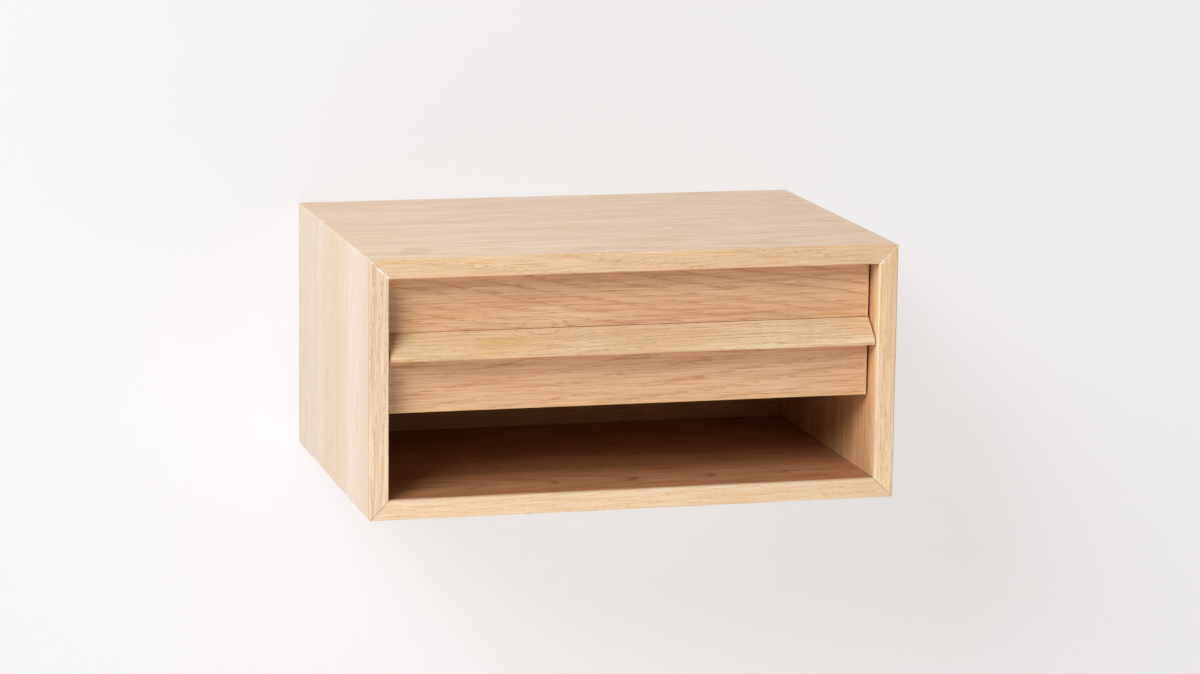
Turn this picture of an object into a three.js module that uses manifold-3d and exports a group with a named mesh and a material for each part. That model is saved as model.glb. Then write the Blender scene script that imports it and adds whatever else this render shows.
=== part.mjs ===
// Floating nightstand in pale oak: a mitred carcass that hangs on a split batten, with one inset
// drawer on ball-bearing runners and an open compartment under it.
// Millimetres. +X is to the right, +Y goes to the wall and +Z is up. The pieces are drawn from the
// wall plane and the carcass's underside, and the whole group is then moved so that its origin is
// the centre of the face that meets the wall.
import * as THREE from "three";
import { mergeVertices } from "three/addons/utils/BufferGeometryUtils.js";
import Module from "manifold-3d";

const wasm = await Module();
wasm.setup();

// Overall size
const width = 500;
const depth = 350;
const height = 240;

// Carcass boards
const board = 18;
const lipping = 6; // depth of the solid strip on each front edge
const cornerRadius = 1.2; // rounding of the four long corners
const arris = 0.8; // easing of the front edges

// Clearances
const seatGap = 0.3; // between a piece and its groove, hole or socket
const overrun = 2; // how far a cut runs past the face that it opens

// Loose tongues in the mitres
const tongueThickness = 4;
const tongueInset = 8; // from the inner corner to the tongue, along the mitre
const tongueCover = 3.5; // wood left between a tongue and the outer face
const tongueStop = 14; // how far a tongue stops short of the lipping and the back panel

// Back panel, housed in all four boards
const backThickness = 18;
const housingDepth = 6;
const recess = 32; // hollow behind the back panel, which takes the split batten

// Split batten
const battenThickness = 30;
const battenEndGap = 12; // play at each end of the wall half
const cabinetBattenHeight = 50;
const wallBattenHeight = 80;
const wallHoleCount = 4;
const wallHoleInset = 40; // from an end of the wall half to its outer hole
const wallHoleRadius = 2.75;
const wallSinkRadius = 5.5;

// Drawer front
const frontThickness = 18;
const frontSetback = 24; // from the carcass's front to the panels' face
const endGap = 2;
const topGap = 2;
const openBelow = 76; // clear height of the compartment under the drawer
const upperHeight = 51.6; // from the top of the front down to the crease over the pull
const edgeStrip = 2; // solid strip on the panels' ends, top and bottom
const edgeArris = 0.5;

// Moulded finger pull
const pullReach = 21; // how far the nose stands out from the panels
const pullDrop = 23.4; // from the crease to the pull's underside
const slopeFall = 17.9; // height that the straight slope loses on its way to the nose
const noseRound = 1;
const noseFlat = 4; // flat land under the nose
const coveShare = 0.35;
const pullRoot = 16; // height of the pull between the two panels
const pullTongueHeight = 5;
const pullTongueThickness = 6;

// Drawer box
const boxSide = 12;
const boxLift = 8; // from the bottom of the front to the bottom of the box
const boxHeadroom = 22; // from the top of the front to the top of the box
const rearClearance = 8; // between the closed box and the back panel
const bottomThickness = 6;
const bottomGroove = 6;
const bottomRaise = 10; // from the box's lower edge to the bottom panel
const tailSlope = 1 / 6;
const tailShare = 0.38; // half of a tail at its wide end, as a share of the tails' pitch
const frontTails = 3;
const backTails = 2;

// Runners, one each side
const runnerWidth = 12.7;
const runnerHeight = 45;
const runnerSheet = 1.2;
const runnerBend = 1.6; // radius of the bends, on the middle of the sheet
const ballRadius = 2;
const raceGap = 0.25; // running clearance between a ball and its race
const outerBallPlace = 8; // from the cabinet's side to the outer balls
const innerBallPlace = 9; // from the cabinet's side to the inner balls
const retainerSheet = 0.5;
const outerRetainerPlace = 3.65; // to the middle of the outer retainer's web
const innerRetainerPlace = 6.05; // to the middle of the inner retainer's web
const retainerStop = 15; // how much shorter a retainer is than half of a runner
const ballsPerRow = 7;
const ballMargin = 7; // from a retainer's end to its first ball
const accessRadius = 5; // holes in the intermediate web that a screwdriver goes through
const runnerScrewInset = 37; // from a runner's end to its screw

// Screws
const tipLength = 4;
const sinkRim = 0.4; // straight rim of a countersunk head
const cleatScrew = { length: 40, shank: 2.2, head: 4.2 };
const bottomScrew = { length: 22, shank: 1.7, head: 3.2 };
const frontScrew = { length: 24, shank: 2, head: 4, rise: 2.2 };
const runnerScrew = { length: 11, shank: 1.9, head: 3.6, rise: 1.8 };
const cleatScrewCount = 4;
const cleatScrewInset = 52; // from a side of the carcass to the outer cleat screw
const frontScrewInset = 70; // from the box's outer side to a front screw
const bottomScrewInset = 120; // from the box's outer side to a bottom screw

// Rear stops
const stopRadius = 8;
const stopRound = 2;
const stopInset = 80; // from the inner side of the carcass to a rear stop

// Facets
const arcSteps = 5;
const bendSteps = 3;
const roundSteps = 12;
const ballSteps = 8;
const ballRings = 4;

// Places that follow from the sizes
const halfWidth = width / 2;
const halfHeight = height / 2;
const innerHalf = halfWidth - board;
const ceiling = height - board;
const carcassFront = -depth;
const boardFront = carcassFront + lipping;
const backRear = -recess;
const backFront = backRear - backThickness;

const bevelDrop = seatGap * Math.SQRT2;
const wallBattenTop = ceiling - cabinetBattenHeight - recess + battenThickness - bevelDrop;
const wallBattenBottom = wallBattenTop - wallBattenHeight;
const wallFaceCentre = (wallBattenBottom + wallBattenTop - battenThickness) / 2;

const frontHalf = innerHalf - endGap;
const frontFace = carcassFront + frontSetback;
const frontRear = frontFace + frontThickness;
const frontTop = ceiling - topGap;
const frontBottom = board + openBelow;
const crease = frontTop - upperHeight;
const pullUnderside = crease - pullDrop;
const pullRootBottom = crease - pullRoot;

const boxHalf = innerHalf - runnerWidth;
const boxInner = boxHalf - boxSide;
const boxFront = frontRear;
const boxRear = backFront - rearClearance;
const boxBottom = frontBottom + boxLift;
const boxTop = frontTop - boxHeadroom;
const bottomUnder = boxBottom + bottomRaise;
const bottomOver = bottomUnder + bottomThickness;

const runnerLength = boxRear - boxFront;
const runnerCentre = (boxBottom + boxTop) / 2;
const middleWebPlace = (outerRetainerPlace + innerRetainerPlace) / 2;
const raceRadius = ballRadius + raceGap + runnerSheet / 2;
const outerBallHeight = runnerHeight / 2 - runnerSheet / 2 - raceRadius;
const middleFlange = outerBallHeight - raceRadius;
const innerBallHeight = middleFlange - raceRadius;
const innerFlange = innerBallHeight - raceRadius;

// Finishes
function finish(color, roughness, metalness = 0) {
  return new THREE.MeshStandardMaterial({ color, roughness, metalness });
}
const oakVeneer = finish("#dfc4a5", 0.55);
const oakSolid = finish("#e6cba0", 0.5);
const drawerVeneer = finish("#d3a576", 0.5);
const palePly = finish("#e2cfae", 0.6);
const pine = finish("#dcc190", 0.7);
const zincSteel = finish("#b9bcc0", 0.35, 0.9);
const retainerSteel = finish("#8f9399", 0.45, 0.8);
const greyRubber = finish("#6f7173", 0.9);

// Solids: a three.js geometry becomes a solid that can be joined and cut
function solidOf(geometry) {
  const bare = geometry.clone();
  bare.deleteAttribute("normal");
  bare.deleteAttribute("uv");
  const welded = mergeVertices(bare);
  const corners = Array.from(welded.index.array);
  const triVerts = [];
  for (let i = 0; i < corners.length; i += 3) {
    const [a, b, c] = corners.slice(i, i + 3);
    if (a !== b && b !== c && c !== a) {
      triVerts.push(a, b, c);
    }
  }
  const vertProperties = Float32Array.from(welded.attributes.position.array);
  return new wasm.Manifold(
    new wasm.Mesh({ numProp: 3, vertProperties, triVerts: Uint32Array.from(triVerts) }),
  );
}

function geometryOf(solid) {
  const mesh = solid.getMesh();
  const geometry = new THREE.BufferGeometry();
  geometry.setAttribute("position", new THREE.BufferAttribute(mesh.vertProperties, 3));
  geometry.setIndex(new THREE.BufferAttribute(mesh.triVerts, 1));
  geometry.computeVertexNormals();
  return geometry;
}

function joined(solids) {
  return solids.reduce((whole, solid) => whole.add(solid));
}

function cut(solid, cutters) {
  return cutters.reduce((rest, cutter) => rest.subtract(cutter), solid);
}

function block(x0, x1, y0, y1, z0, z1, grow = 0) {
  const box = new THREE.BoxGeometry(x1 - x0 + 2 * grow, y1 - y0 + 2 * grow, z1 - z0 + 2 * grow);
  box.translate((x0 + x1) / 2, (y0 + y1) / 2, (z0 + z1) / 2);
  return solidOf(box);
}

// Turns an extrusion so that its depth runs along X, Y or Z, with no rounding
const extrusionTurns = {
  x: new THREE.Matrix4().set(0, 0, 1, 0, 1, 0, 0, 0, 0, 1, 0, 0, 0, 0, 0, 1),
  y: new THREE.Matrix4().set(0, 1, 0, 0, 0, 0, 1, 0, 1, 0, 0, 0, 0, 0, 0, 1),
  z: new THREE.Matrix4(),
};

// An outline of [y, z] points runs along x, one of [x, z] along y and one of [x, y] along z
function prism(axis, outline, from, to) {
  const corners = outline.map(([p, q]) => new THREE.Vector2(...(axis === "y" ? [q, p] : [p, q])));
  const extrusion = new THREE.ExtrudeGeometry(new THREE.Shape(corners), {
    depth: to - from,
    bevelEnabled: false,
  });
  extrusion.translate(0, 0, from);
  extrusion.applyMatrix4(extrusionTurns[axis]);
  return solidOf(extrusion);
}

function arc(centreP, centreQ, radius, fromDegrees, toDegrees) {
  const points = [];
  for (let i = 0; i <= bendSteps; i += 1) {
    const angle = THREE.MathUtils.degToRad(fromDegrees + ((toDegrees - fromDegrees) * i) / bendSteps);
    points.push([centreP + radius * Math.cos(angle), centreQ + radius * Math.sin(angle)]);
  }
  return points;
}

// A curve from start to end that leaves and arrives along the lines through the bend point
function bendCurve(start, bend, end, steps = arcSteps) {
  const curve = new THREE.QuadraticBezierCurve(
    new THREE.Vector2(...start),
    new THREE.Vector2(...bend),
    new THREE.Vector2(...end),
  );
  return curve.getPoints(steps).map((point) => [point.x, point.y]);
}

// Turns a revolved shape so that its Y axis points along the given direction
function turnedTo(direction) {
  const [x, y, z] = direction;
  return new THREE.Matrix4().makeBasis(
    new THREE.Vector3(Math.abs(y), Math.abs(z), Math.abs(x)),
    new THREE.Vector3(x, y, z),
    new THREE.Vector3(z, x, y),
  );
}

function revolved(profile, direction, place = [0, 0, 0]) {
  const points = profile.map(([radius, along]) => new THREE.Vector2(radius, along));
  const lathe = new THREE.LatheGeometry(points, roundSteps);
  lathe.applyMatrix4(turnedTo(direction));
  lathe.translate(...place);
  return solidOf(lathe);
}

// Adds a named mesh for one piece
function addPiece(group, name, solid, material, place = [0, 0, 0]) {
  const mesh = new THREE.Mesh(geometryOf(solid), material);
  mesh.name = name;
  mesh.position.set(...place);
  group.add(mesh);
}

// Screw profiles, from the head along the shank. A grown profile cuts the screw's own hole.
function countersunkProfile(screw, grow = 0) {
  const mouth = grow > 0 ? -overrun : 0;
  const coneEnd = sinkRim + screw.head - screw.shank;
  return [
    [0, mouth],
    [screw.head + grow, mouth],
    [screw.head + grow, sinkRim + grow],
    [screw.shank + grow, coneEnd + grow],
    [screw.shank + grow, screw.length - tipLength + grow],
    [0, screw.length + grow],
  ];
}

function panHeadProfile(screw) {
  const dome = bendCurve([0, -screw.rise], [screw.head, -screw.rise], [screw.head, 0]);
  return [...dome, [screw.shank, 0], [screw.shank, screw.length - tipLength], [0, screw.length]];
}

function shankHoleProfile(screw) {
  return [
    [0, -overrun],
    [screw.shank + seatGap, -overrun],
    [screw.shank + seatGap, screw.length - tipLength + seatGap],
    [0, screw.length + seatGap],
  ];
}

function evenPlaces(count, pitch) {
  return Array.from({ length: count }, (_, i) => (i - (count - 1) / 2) * pitch);
}

function spreadPlaces(count, reach) {
  return evenPlaces(count, (2 * reach) / (count - 1));
}

const sides = { left: -1, right: 1 };

// Walls of the carcass. A board's outline is drawn as [run, rise]: run goes along the board and
// rise goes from its inner face to its outer face.
const walls = {
  top: { half: halfWidth, place: ([run, rise]) => [run, ceiling + rise] },
  bottom: { half: halfWidth, place: ([run, rise]) => [run, board - rise] },
  left: { half: halfHeight, place: ([run, rise]) => [-innerHalf - rise, halfHeight + run] },
  right: { half: halfHeight, place: ([run, rise]) => [innerHalf + rise, halfHeight + run] },
};

// Both tips are mitred, and each is rounded so that two boards share one round corner
function mitredOutline(half) {
  const tipRun = half - cornerRadius;
  const tipRise = board - cornerRadius;
  return [
    [board - half, 0],
    [half - board, 0],
    ...arc(tipRun, tipRise, cornerRadius, 45, 90),
    ...arc(-tipRun, tipRise, cornerRadius, 90, 135),
  ];
}

function wallPrism(wall, from, to) {
  return prism("y", mitredOutline(wall.half).map(wall.place), from, to);
}

// Pieces of the carcass
const carcass = new THREE.Group();

const corners = {
  top_left: [-1, 1],
  top_right: [1, 1],
  bottom_left: [-1, -1],
  bottom_right: [1, -1],
};

// A tongue lies square across the mitre, so its section is a turned rectangle
function tongueOutline([sideX, sideZ], grow = 0) {
  const cornerX = sideX * innerHalf;
  const cornerZ = sideZ > 0 ? ceiling : board;
  const halfThick = tongueThickness / 2;
  const halfWide = (board - tongueCover) * Math.SQRT2 - tongueInset - halfThick;
  const point = (along, across) => [
    cornerX + (sideX * (tongueInset + along + across)) / Math.SQRT2,
    cornerZ + (sideZ * (tongueInset + along - across)) / Math.SQRT2,
  ];
  return [
    point(-halfThick - grow, -halfWide - grow),
    point(halfThick + grow, -halfWide - grow),
    point(halfThick + grow, halfWide + grow),
    point(-halfThick - grow, halfWide + grow),
  ];
}

function tongue(corner, grow = 0) {
  const from = boardFront + tongueStop - grow;
  const to = backFront - tongueStop + grow;
  return prism("y", tongueOutline(corner, grow), from, to);
}

function housedBack(grow = 0) {
  const reach = innerHalf + housingDepth;
  const low = board - housingDepth;
  const high = ceiling + housingDepth;
  return block(-reach, reach, backFront, backRear, low, high, grow);
}

// The screws that hold the cabinet half of the batten come through the back panel
const cleatScrewPlaces = spreadPlaces(cleatScrewCount, innerHalf - cleatScrewInset).map((x) => [
  x,
  backFront,
  ceiling - cabinetBattenHeight / 2,
]);
const cleatScrewHoles = cleatScrewPlaces.map((place) =>
  revolved(countersunkProfile(cleatScrew, seatGap), [0, 1, 0], place),
);

function addBoards() {
  const names = { top: "top_panel", bottom: "bottom_panel", left: "left_side", right: "right_side" };
  const tongueSlots = Object.values(corners).map((corner) => tongue(corner, seatGap));
  const grooves = [housedBack(seatGap), ...tongueSlots];
  for (const [key, wall] of Object.entries(walls)) {
    const holes = key in sides ? runnerHoles(sides[key], true, runnerOrigin(sides[key])) : [];
    const panel = cut(wallPrism(wall, boardFront, 0), [...grooves, ...holes]);
    addPiece(carcass, names[key], panel, oakVeneer);
  }
  for (const [key, corner] of Object.entries(corners)) {
    addPiece(carcass, `mitre_tongue_${key}`, tongue(corner), palePly);
  }
}

// A lipping's section has both front arrises eased. It runs along x on the top and the bottom
// and along z on the sides, and its ends are cut to the mitres.
function addLippings() {
  const section = [
    [carcassFront + arris, 0],
    [boardFront, 0],
    [boardFront, board],
    [carcassFront + arris, board],
    [carcassFront, board - arris],
    [carcassFront, arris],
  ];
  for (const [key, wall] of Object.entries(walls)) {
    const upright = key in sides;
    const outline = section.map(([y, rise]) => {
      const [x, z] = wall.place([0, rise]);
      return upright ? [x, y] : [y, z];
    });
    const blank = upright ? prism("z", outline, 0, height) : prism("x", outline, -halfWidth, halfWidth);
    const strip = blank.intersect(wallPrism(wall, carcassFront, boardFront));
    addPiece(carcass, `${key}_front_lipping`, strip, oakSolid);
  }
}

function addBackPanel() {
  addPiece(carcass, "back_panel", cut(housedBack(), cleatScrewHoles), oakVeneer);
}

// The two halves of the batten are bevelled at 45 degrees, so the cabinet's weight draws it
// to the wall
function addSplitBatten() {
  const cabinetReach = innerHalf - seatGap;
  const cabinetRear = backRear + battenThickness;
  const cabinetLow = ceiling - cabinetBattenHeight;
  const cabinetOutline = [
    [backRear, ceiling],
    [backRear, cabinetLow],
    [cabinetRear, cabinetLow - battenThickness],
    [cabinetRear, ceiling],
  ];
  const cabinetHalf = cut(prism("x", cabinetOutline, -cabinetReach, cabinetReach), cleatScrewHoles);
  addPiece(carcass, "cabinet_cleat", cabinetHalf, pine);

  const wallReach = innerHalf - battenEndGap;
  const wallOutline = [
    [-battenThickness, wallBattenBottom],
    [0, wallBattenBottom],
    [0, wallBattenTop - battenThickness],
    [-battenThickness, wallBattenTop],
  ];
  const wallHoleProfile = [
    [0, -overrun],
    [wallSinkRadius, -overrun],
    [wallSinkRadius, 0],
    [wallHoleRadius, wallSinkRadius - wallHoleRadius],
    [wallHoleRadius, battenThickness + overrun],
    [0, battenThickness + overrun],
  ];
  const wallHoles = spreadPlaces(wallHoleCount, wallReach - wallHoleInset).map((x) =>
    revolved(wallHoleProfile, [0, 1, 0], [x, -battenThickness, wallFaceCentre]),
  );
  addPiece(carcass, "wall_cleat", cut(prism("x", wallOutline, -wallReach, wallReach), wallHoles), pine);

  cleatScrewPlaces.forEach((place, i) => {
    const screw = revolved(countersunkProfile(cleatScrew), [0, 1, 0]);
    addPiece(carcass, `cleat_screw_${i + 1}`, screw, zincSteel, place);
  });
}

// Rubber stops on the back panel that the closed drawer comes up to
function addRearStops() {
  const rise = rearClearance - seatGap;
  const shoulder = bendCurve(
    [stopRadius, rise - stopRound],
    [stopRadius, rise],
    [stopRadius - stopRound, rise],
    bendSteps,
  );
  const profile = [[0, 0], [stopRadius, 0], ...shoulder, [0, rise]];
  const middle = (bottomOver + boxTop) / 2;
  for (const [key, side] of Object.entries(sides)) {
    const place = [side * (innerHalf - stopInset), backFront, middle];
    addPiece(carcass, `rear_stop_${key}`, revolved(profile, [0, -1, 0]), greyRubber, place);
  }
}

// Pieces of the drawer
const drawer = new THREE.Group();

// The front screws sit midway up the stretches where the panels lie against the box, clear of
// the pull's tongues
const frontScrewX = boxHalf - frontScrewInset;
const frontScrewHeights = [
  (crease + pullTongueHeight + boxTop) / 2,
  (boxBottom + pullRootBottom - pullTongueHeight) / 2,
];
const frontScrewPlaces = frontScrewHeights.flatMap((z) => [
  [-frontScrewX, boxFront + boxSide, z],
  [frontScrewX, boxFront + boxSide, z],
]);
const frontScrewHoles = frontScrewPlaces.map((place) =>
  revolved(shankHoleProfile(frontScrew), [0, -1, 0], place),
);

const pullTongueFront = frontFace + (frontThickness - pullTongueThickness) / 2;
const pullTongueRear = pullTongueFront + pullTongueThickness;

function pullTongue(low, high, grow = 0) {
  const reach = frontHalf - edgeStrip - seatGap;
  return block(-reach, reach, pullTongueFront, pullTongueRear, low, high, grow);
}

// The two flat panels of the front, each with solid strips on its free edges
function addFrontPanels() {
  const reach = frontHalf - edgeStrip;
  const grooves = [
    pullTongue(crease - overrun, crease + pullTongueHeight, seatGap),
    pullTongue(pullRootBottom - pullTongueHeight, pullRootBottom + overrun, seatGap),
  ];
  const upper = block(-reach, reach, frontFace, frontRear, crease, frontTop - edgeStrip);
  addPiece(drawer, "upper_front_panel", cut(upper, [...grooves, ...frontScrewHoles]), drawerVeneer);
  const lower = block(-reach, reach, frontFace, frontRear, frontBottom + edgeStrip, pullRootBottom);
  addPiece(drawer, "lower_front_panel", cut(lower, [...grooves, ...frontScrewHoles]), drawerVeneer);
}

function addFrontEdges() {
  const reach = frontHalf - edgeStrip;
  const lying = (edge, inner) => [
    [frontFace + edgeArris, edge],
    [frontRear, edge],
    [frontRear, inner],
    [frontFace, inner],
    [frontFace, edge + Math.sign(inner - edge) * edgeArris],
  ];
  const standing = (side) => [
    [side * frontHalf, frontFace + edgeArris],
    [side * frontHalf, frontRear],
    [side * reach, frontRear],
    [side * reach, frontFace],
    [side * (frontHalf - edgeArris), frontFace],
  ];
  const topStrip = prism("x", lying(frontTop, frontTop - edgeStrip), -reach, reach);
  addPiece(drawer, "upper_front_top_edge", topStrip, oakSolid);
  const bottomStrip = prism("x", lying(frontBottom, frontBottom + edgeStrip), -reach, reach);
  addPiece(drawer, "lower_front_bottom_edge", bottomStrip, oakSolid);
  for (const [key, side] of Object.entries(sides)) {
    const upper = prism("z", standing(side), crease, frontTop);
    addPiece(drawer, `upper_front_${key}_edge`, upper, oakSolid);
    const lower = prism("z", standing(side), frontBottom, pullRootBottom);
    addPiece(drawer, `lower_front_${key}_edge`, lower, oakSolid);
  }
}

// The pull slopes out from the crease, turns down round its nose and is coved underneath
function addHandleRail() {
  const nose = frontFace - pullReach;
  const slopeEnd = crease - slopeFall;
  const noseEnd = pullUnderside + noseRound;
  const slopeLength = Math.hypot(pullReach, slopeFall);
  const back = (slopeEnd - noseEnd) / slopeLength;
  const slopeTurn = [nose + back * pullReach, slopeEnd + back * slopeFall];
  const landEnd = nose + noseFlat;
  const coveBend = landEnd + coveShare * (frontFace - landEnd);
  const outline = [
    [frontFace, crease],
    ...bendCurve(slopeTurn, [nose, slopeEnd], [nose, noseEnd]),
    ...arc(nose + noseRound, noseEnd, noseRound, 180, 270).slice(1),
    ...bendCurve([landEnd, pullUnderside], [coveBend, pullRootBottom], [frontFace, pullRootBottom]),
    [frontRear, pullRootBottom],
    [frontRear, crease],
  ];
  const rail = joined([
    prism("x", outline, -frontHalf, frontHalf),
    pullTongue(crease - overrun, crease + pullTongueHeight),
    pullTongue(pullRootBottom - pullTongueHeight, pullRootBottom + overrun),
  ]);
  addPiece(drawer, "handle_rail", rail, oakSolid);
}

// Dovetails: the box's sides carry the tails, which widen towards the end of the board
function tails(end, shoulder, low, high, count, side, grow = 0) {
  const pitch = (high - low) / count;
  const wide = tailShare * pitch;
  const narrow = wide - boxSide * tailSlope;
  const from = side < 0 ? -boxHalf : boxInner;
  return evenPlaces(count, pitch).map((offset) => {
    const centre = (low + high) / 2 + offset;
    const outline = [
      [end, centre - wide - grow],
      [end, centre + wide + grow],
      [shoulder, centre + narrow + grow],
      [shoulder, centre - narrow - grow],
    ];
    return prism("x", outline, from, from + boxSide);
  });
}

function frontBoxTails(side, grow) {
  return tails(boxFront, boxFront + boxSide, boxBottom, boxTop, frontTails, side, grow);
}

function backBoxTails(side, grow) {
  return tails(boxRear, boxRear - boxSide, bottomOver, boxTop, backTails, side, grow);
}

function bottomSheet(grow = 0) {
  const reach = boxInner + bottomGroove;
  const from = boxFront + boxSide - bottomGroove;
  return block(-reach, reach, from, boxRear, bottomUnder, bottomOver, grow);
}

const bottomScrewPlaces = Object.values(sides).map((side) => [
  side * (boxHalf - bottomScrewInset),
  boxRear - boxSide / 2,
  bottomUnder,
]);
const bottomScrewHoles = bottomScrewPlaces.map((place) =>
  revolved(countersunkProfile(bottomScrew, seatGap), [0, 0, 1], place),
);

function addDrawerBox() {
  const groove = bottomSheet(seatGap);
  const frontBoard = block(-boxHalf, boxHalf, boxFront, boxFront + boxSide, boxBottom, boxTop);
  const backBoard = block(-boxHalf, boxHalf, boxRear - boxSide, boxRear, bottomOver, boxTop);
  const frontSockets = Object.values(sides).flatMap((side) => frontBoxTails(side, seatGap));
  const backSockets = Object.values(sides).flatMap((side) => backBoxTails(side, seatGap));
  const innerFront = cut(frontBoard, [...frontSockets, groove, ...frontScrewHoles]);
  addPiece(drawer, "drawer_inner_front", innerFront, palePly);
  const back = cut(backBoard, [...backSockets, groove, ...bottomScrewHoles]);
  addPiece(drawer, "drawer_back", back, palePly);
  addPiece(drawer, "drawer_bottom", cut(bottomSheet(), bottomScrewHoles), palePly);

  for (const [key, side] of Object.entries(sides)) {
    const from = side < 0 ? -boxHalf : boxInner;
    const to = from + boxSide;
    const whole = joined([
      block(from, to, boxFront + boxSide, boxRear - boxSide, boxBottom, boxTop),
      block(from, to, boxRear - boxSide - overrun, boxRear, boxBottom, bottomOver),
      ...frontBoxTails(side),
      ...backBoxTails(side),
    ]);
    const holes = runnerHoles(side, false, runnerOrigin(side));
    addPiece(drawer, `drawer_${key}_side`, cut(whole, [groove, ...holes]), palePly);
  }
  frontScrewPlaces.forEach((place, i) => {
    const screw = revolved(panHeadProfile(frontScrew), [0, -1, 0]);
    addPiece(drawer, `front_screw_${i + 1}`, screw, zincSteel, place);
  });
  bottomScrewPlaces.forEach((place, i) => {
    const screw = revolved(countersunkProfile(bottomScrew), [0, 0, 1]);
    addPiece(drawer, `bottom_screw_${i + 1}`, screw, zincSteel, place);
  });
}

// Runners. A section is drawn as [out, up]: out goes from the cabinet's side to the drawer, and
// up goes from the runner's middle. Along the runner, zero is its front end.
const runnerScrewPlaces = { front: runnerScrewInset, rear: runnerLength - runnerScrewInset };
const drawerWebFace = runnerWidth - runnerSheet;

// The middle line of a sheet, from the end of its lower flange to the end of its upper one
function mirroredLine(upperHalf) {
  const lowerHalf = upperHalf.map(([out, up]) => [out, -up]).reverse();
  return [...lowerHalf, ...upperHalf];
}

// Gives a line the thickness of its sheet
function sheetOutline(line, sheet) {
  const points = line.map(([out, up]) => new THREE.Vector2(out, up));
  const offset = (sign) =>
    points.map((point, i) => {
      const into = point.clone().sub(points[i - 1] ?? point).normalize();
      const onward = (points[i + 1] ?? point).clone().sub(point).normalize();
      const run = into.clone().add(onward).normalize();
      const lean = Math.max(run.dot(into), run.dot(onward));
      const reach = (sign * sheet) / 2 / lean;
      return [point.x - run.y * reach, point.y + run.x * reach];
    });
  return [...offset(1), ...offset(-1).reverse()];
}

function sheetSolid(side, upperHalf, sheet, from, to) {
  const outline = sheetOutline(mirroredLine(upperHalf), sheet).map(([out, up]) => [-side * out, up]);
  return prism("y", outline, from, to);
}

// Each flange ends in a race that curls round its balls
const cabinetSection = [
  ...arc(runnerSheet / 2 + runnerBend, outerBallHeight + raceRadius - runnerBend, runnerBend, 180, 90),
  ...arc(outerBallPlace, outerBallHeight, raceRadius, 90, 25),
];
const middleSection = [
  ...arc(middleWebPlace + runnerBend, middleFlange - runnerBend, runnerBend, 180, 90),
  ...arc(outerBallPlace, outerBallHeight, raceRadius, 270, 320),
];
const drawerSection = [
  ...arc(runnerWidth - runnerSheet / 2 - runnerBend, innerFlange - runnerBend, runnerBend, 0, 90),
  ...arc(innerBallPlace, innerBallHeight, raceRadius, 270, 230),
];

function retainerSection(webPlace, ballPlace, ballHeight) {
  return [
    ...arc(webPlace + runnerBend, ballHeight - runnerBend, runnerBend, 180, 90),
    [ballPlace + ballRadius, ballHeight],
  ];
}

// A strip that holds two rows of balls, in the middle of the runner
function retainer(side, webPlace, ballPlace, ballHeight) {
  const length = runnerLength / 2 - retainerStop;
  const from = (runnerLength - length) / 2;
  const pitch = (length - 2 * ballMargin) / (ballsPerRow - 1);
  const section = retainerSection(webPlace, ballPlace, ballHeight);
  const strip = sheetSolid(side, section, retainerSheet, from, from + length);
  const rows = [ballHeight, -ballHeight];
  const balls = rows.flatMap((up) =>
    evenPlaces(ballsPerRow, pitch).map((offset) => {
      const ball = new THREE.SphereGeometry(ballRadius, ballSteps, ballRings);
      ball.translate(-side * ballPlace, runnerLength / 2 + offset, up);
      return solidOf(ball);
    }),
  );
  return joined([strip, ...balls]);
}

// Screw holes, in a runner's own frame and in the boards that its members are screwed to
function runnerHoles(side, toCabinet, origin = [0, 0, 0]) {
  const direction = [toCabinet ? side : -side, 0, 0];
  const out = toCabinet ? runnerSheet : drawerWebFace;
  return Object.values(runnerScrewPlaces).map((along) => {
    const place = [origin[0] - side * out, origin[1] + along, origin[2]];
    return revolved(shankHoleProfile(runnerScrew), direction, place);
  });
}

function runnerOrigin(side) {
  return [side * innerHalf, boxFront, runnerCentre];
}

function accessHoles(side) {
  const profile = [
    [0, -overrun],
    [accessRadius, -overrun],
    [accessRadius, overrun],
    [0, overrun],
  ];
  return Object.values(runnerScrewPlaces).map((along) =>
    revolved(profile, [1, 0, 0], [-side * middleWebPlace, along, 0]),
  );
}

function makeRunner(key) {
  const side = sides[key];
  const runner = new THREE.Group();
  runner.position.set(...runnerOrigin(side));

  const cabinetMember = sheetSolid(side, cabinetSection, runnerSheet, 0, runnerLength);
  addPiece(runner, `${key}_cabinet_member`, cut(cabinetMember, runnerHoles(side, true)), zincSteel);
  const middleMember = sheetSolid(side, middleSection, runnerSheet, 0, runnerLength);
  addPiece(runner, `${key}_intermediate_member`, cut(middleMember, accessHoles(side)), zincSteel);
  const drawerMember = sheetSolid(side, drawerSection, runnerSheet, 0, runnerLength);
  addPiece(runner, `${key}_drawer_member`, cut(drawerMember, runnerHoles(side, false)), zincSteel);

  const outer = retainer(side, outerRetainerPlace, outerBallPlace, outerBallHeight);
  addPiece(runner, `${key}_outer_ball_retainer`, outer, retainerSteel);
  const inner = retainer(side, innerRetainerPlace, innerBallPlace, innerBallHeight);
  addPiece(runner, `${key}_inner_ball_retainer`, inner, retainerSteel);

  for (const [end, along] of Object.entries(runnerScrewPlaces)) {
    const cabinetScrew = revolved(panHeadProfile(runnerScrew), [side, 0, 0]);
    const cabinetSeat = [-side * runnerSheet, along, 0];
    addPiece(runner, `${key}_cabinet_screw_${end}`, cabinetScrew, zincSteel, cabinetSeat);
    const drawerScrew = revolved(panHeadProfile(runnerScrew), [-side, 0, 0]);
    const drawerSeat = [-side * drawerWebFace, along, 0];
    addPiece(runner, `${key}_drawer_screw_${end}`, drawerScrew, zincSteel, drawerSeat);
  }
  return runner;
}

addBoards();
addLippings();
addBackPanel();
addSplitBatten();
addRearStops();
addFrontPanels();
addFrontEdges();
addHandleRail();
addDrawerBox();

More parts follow.
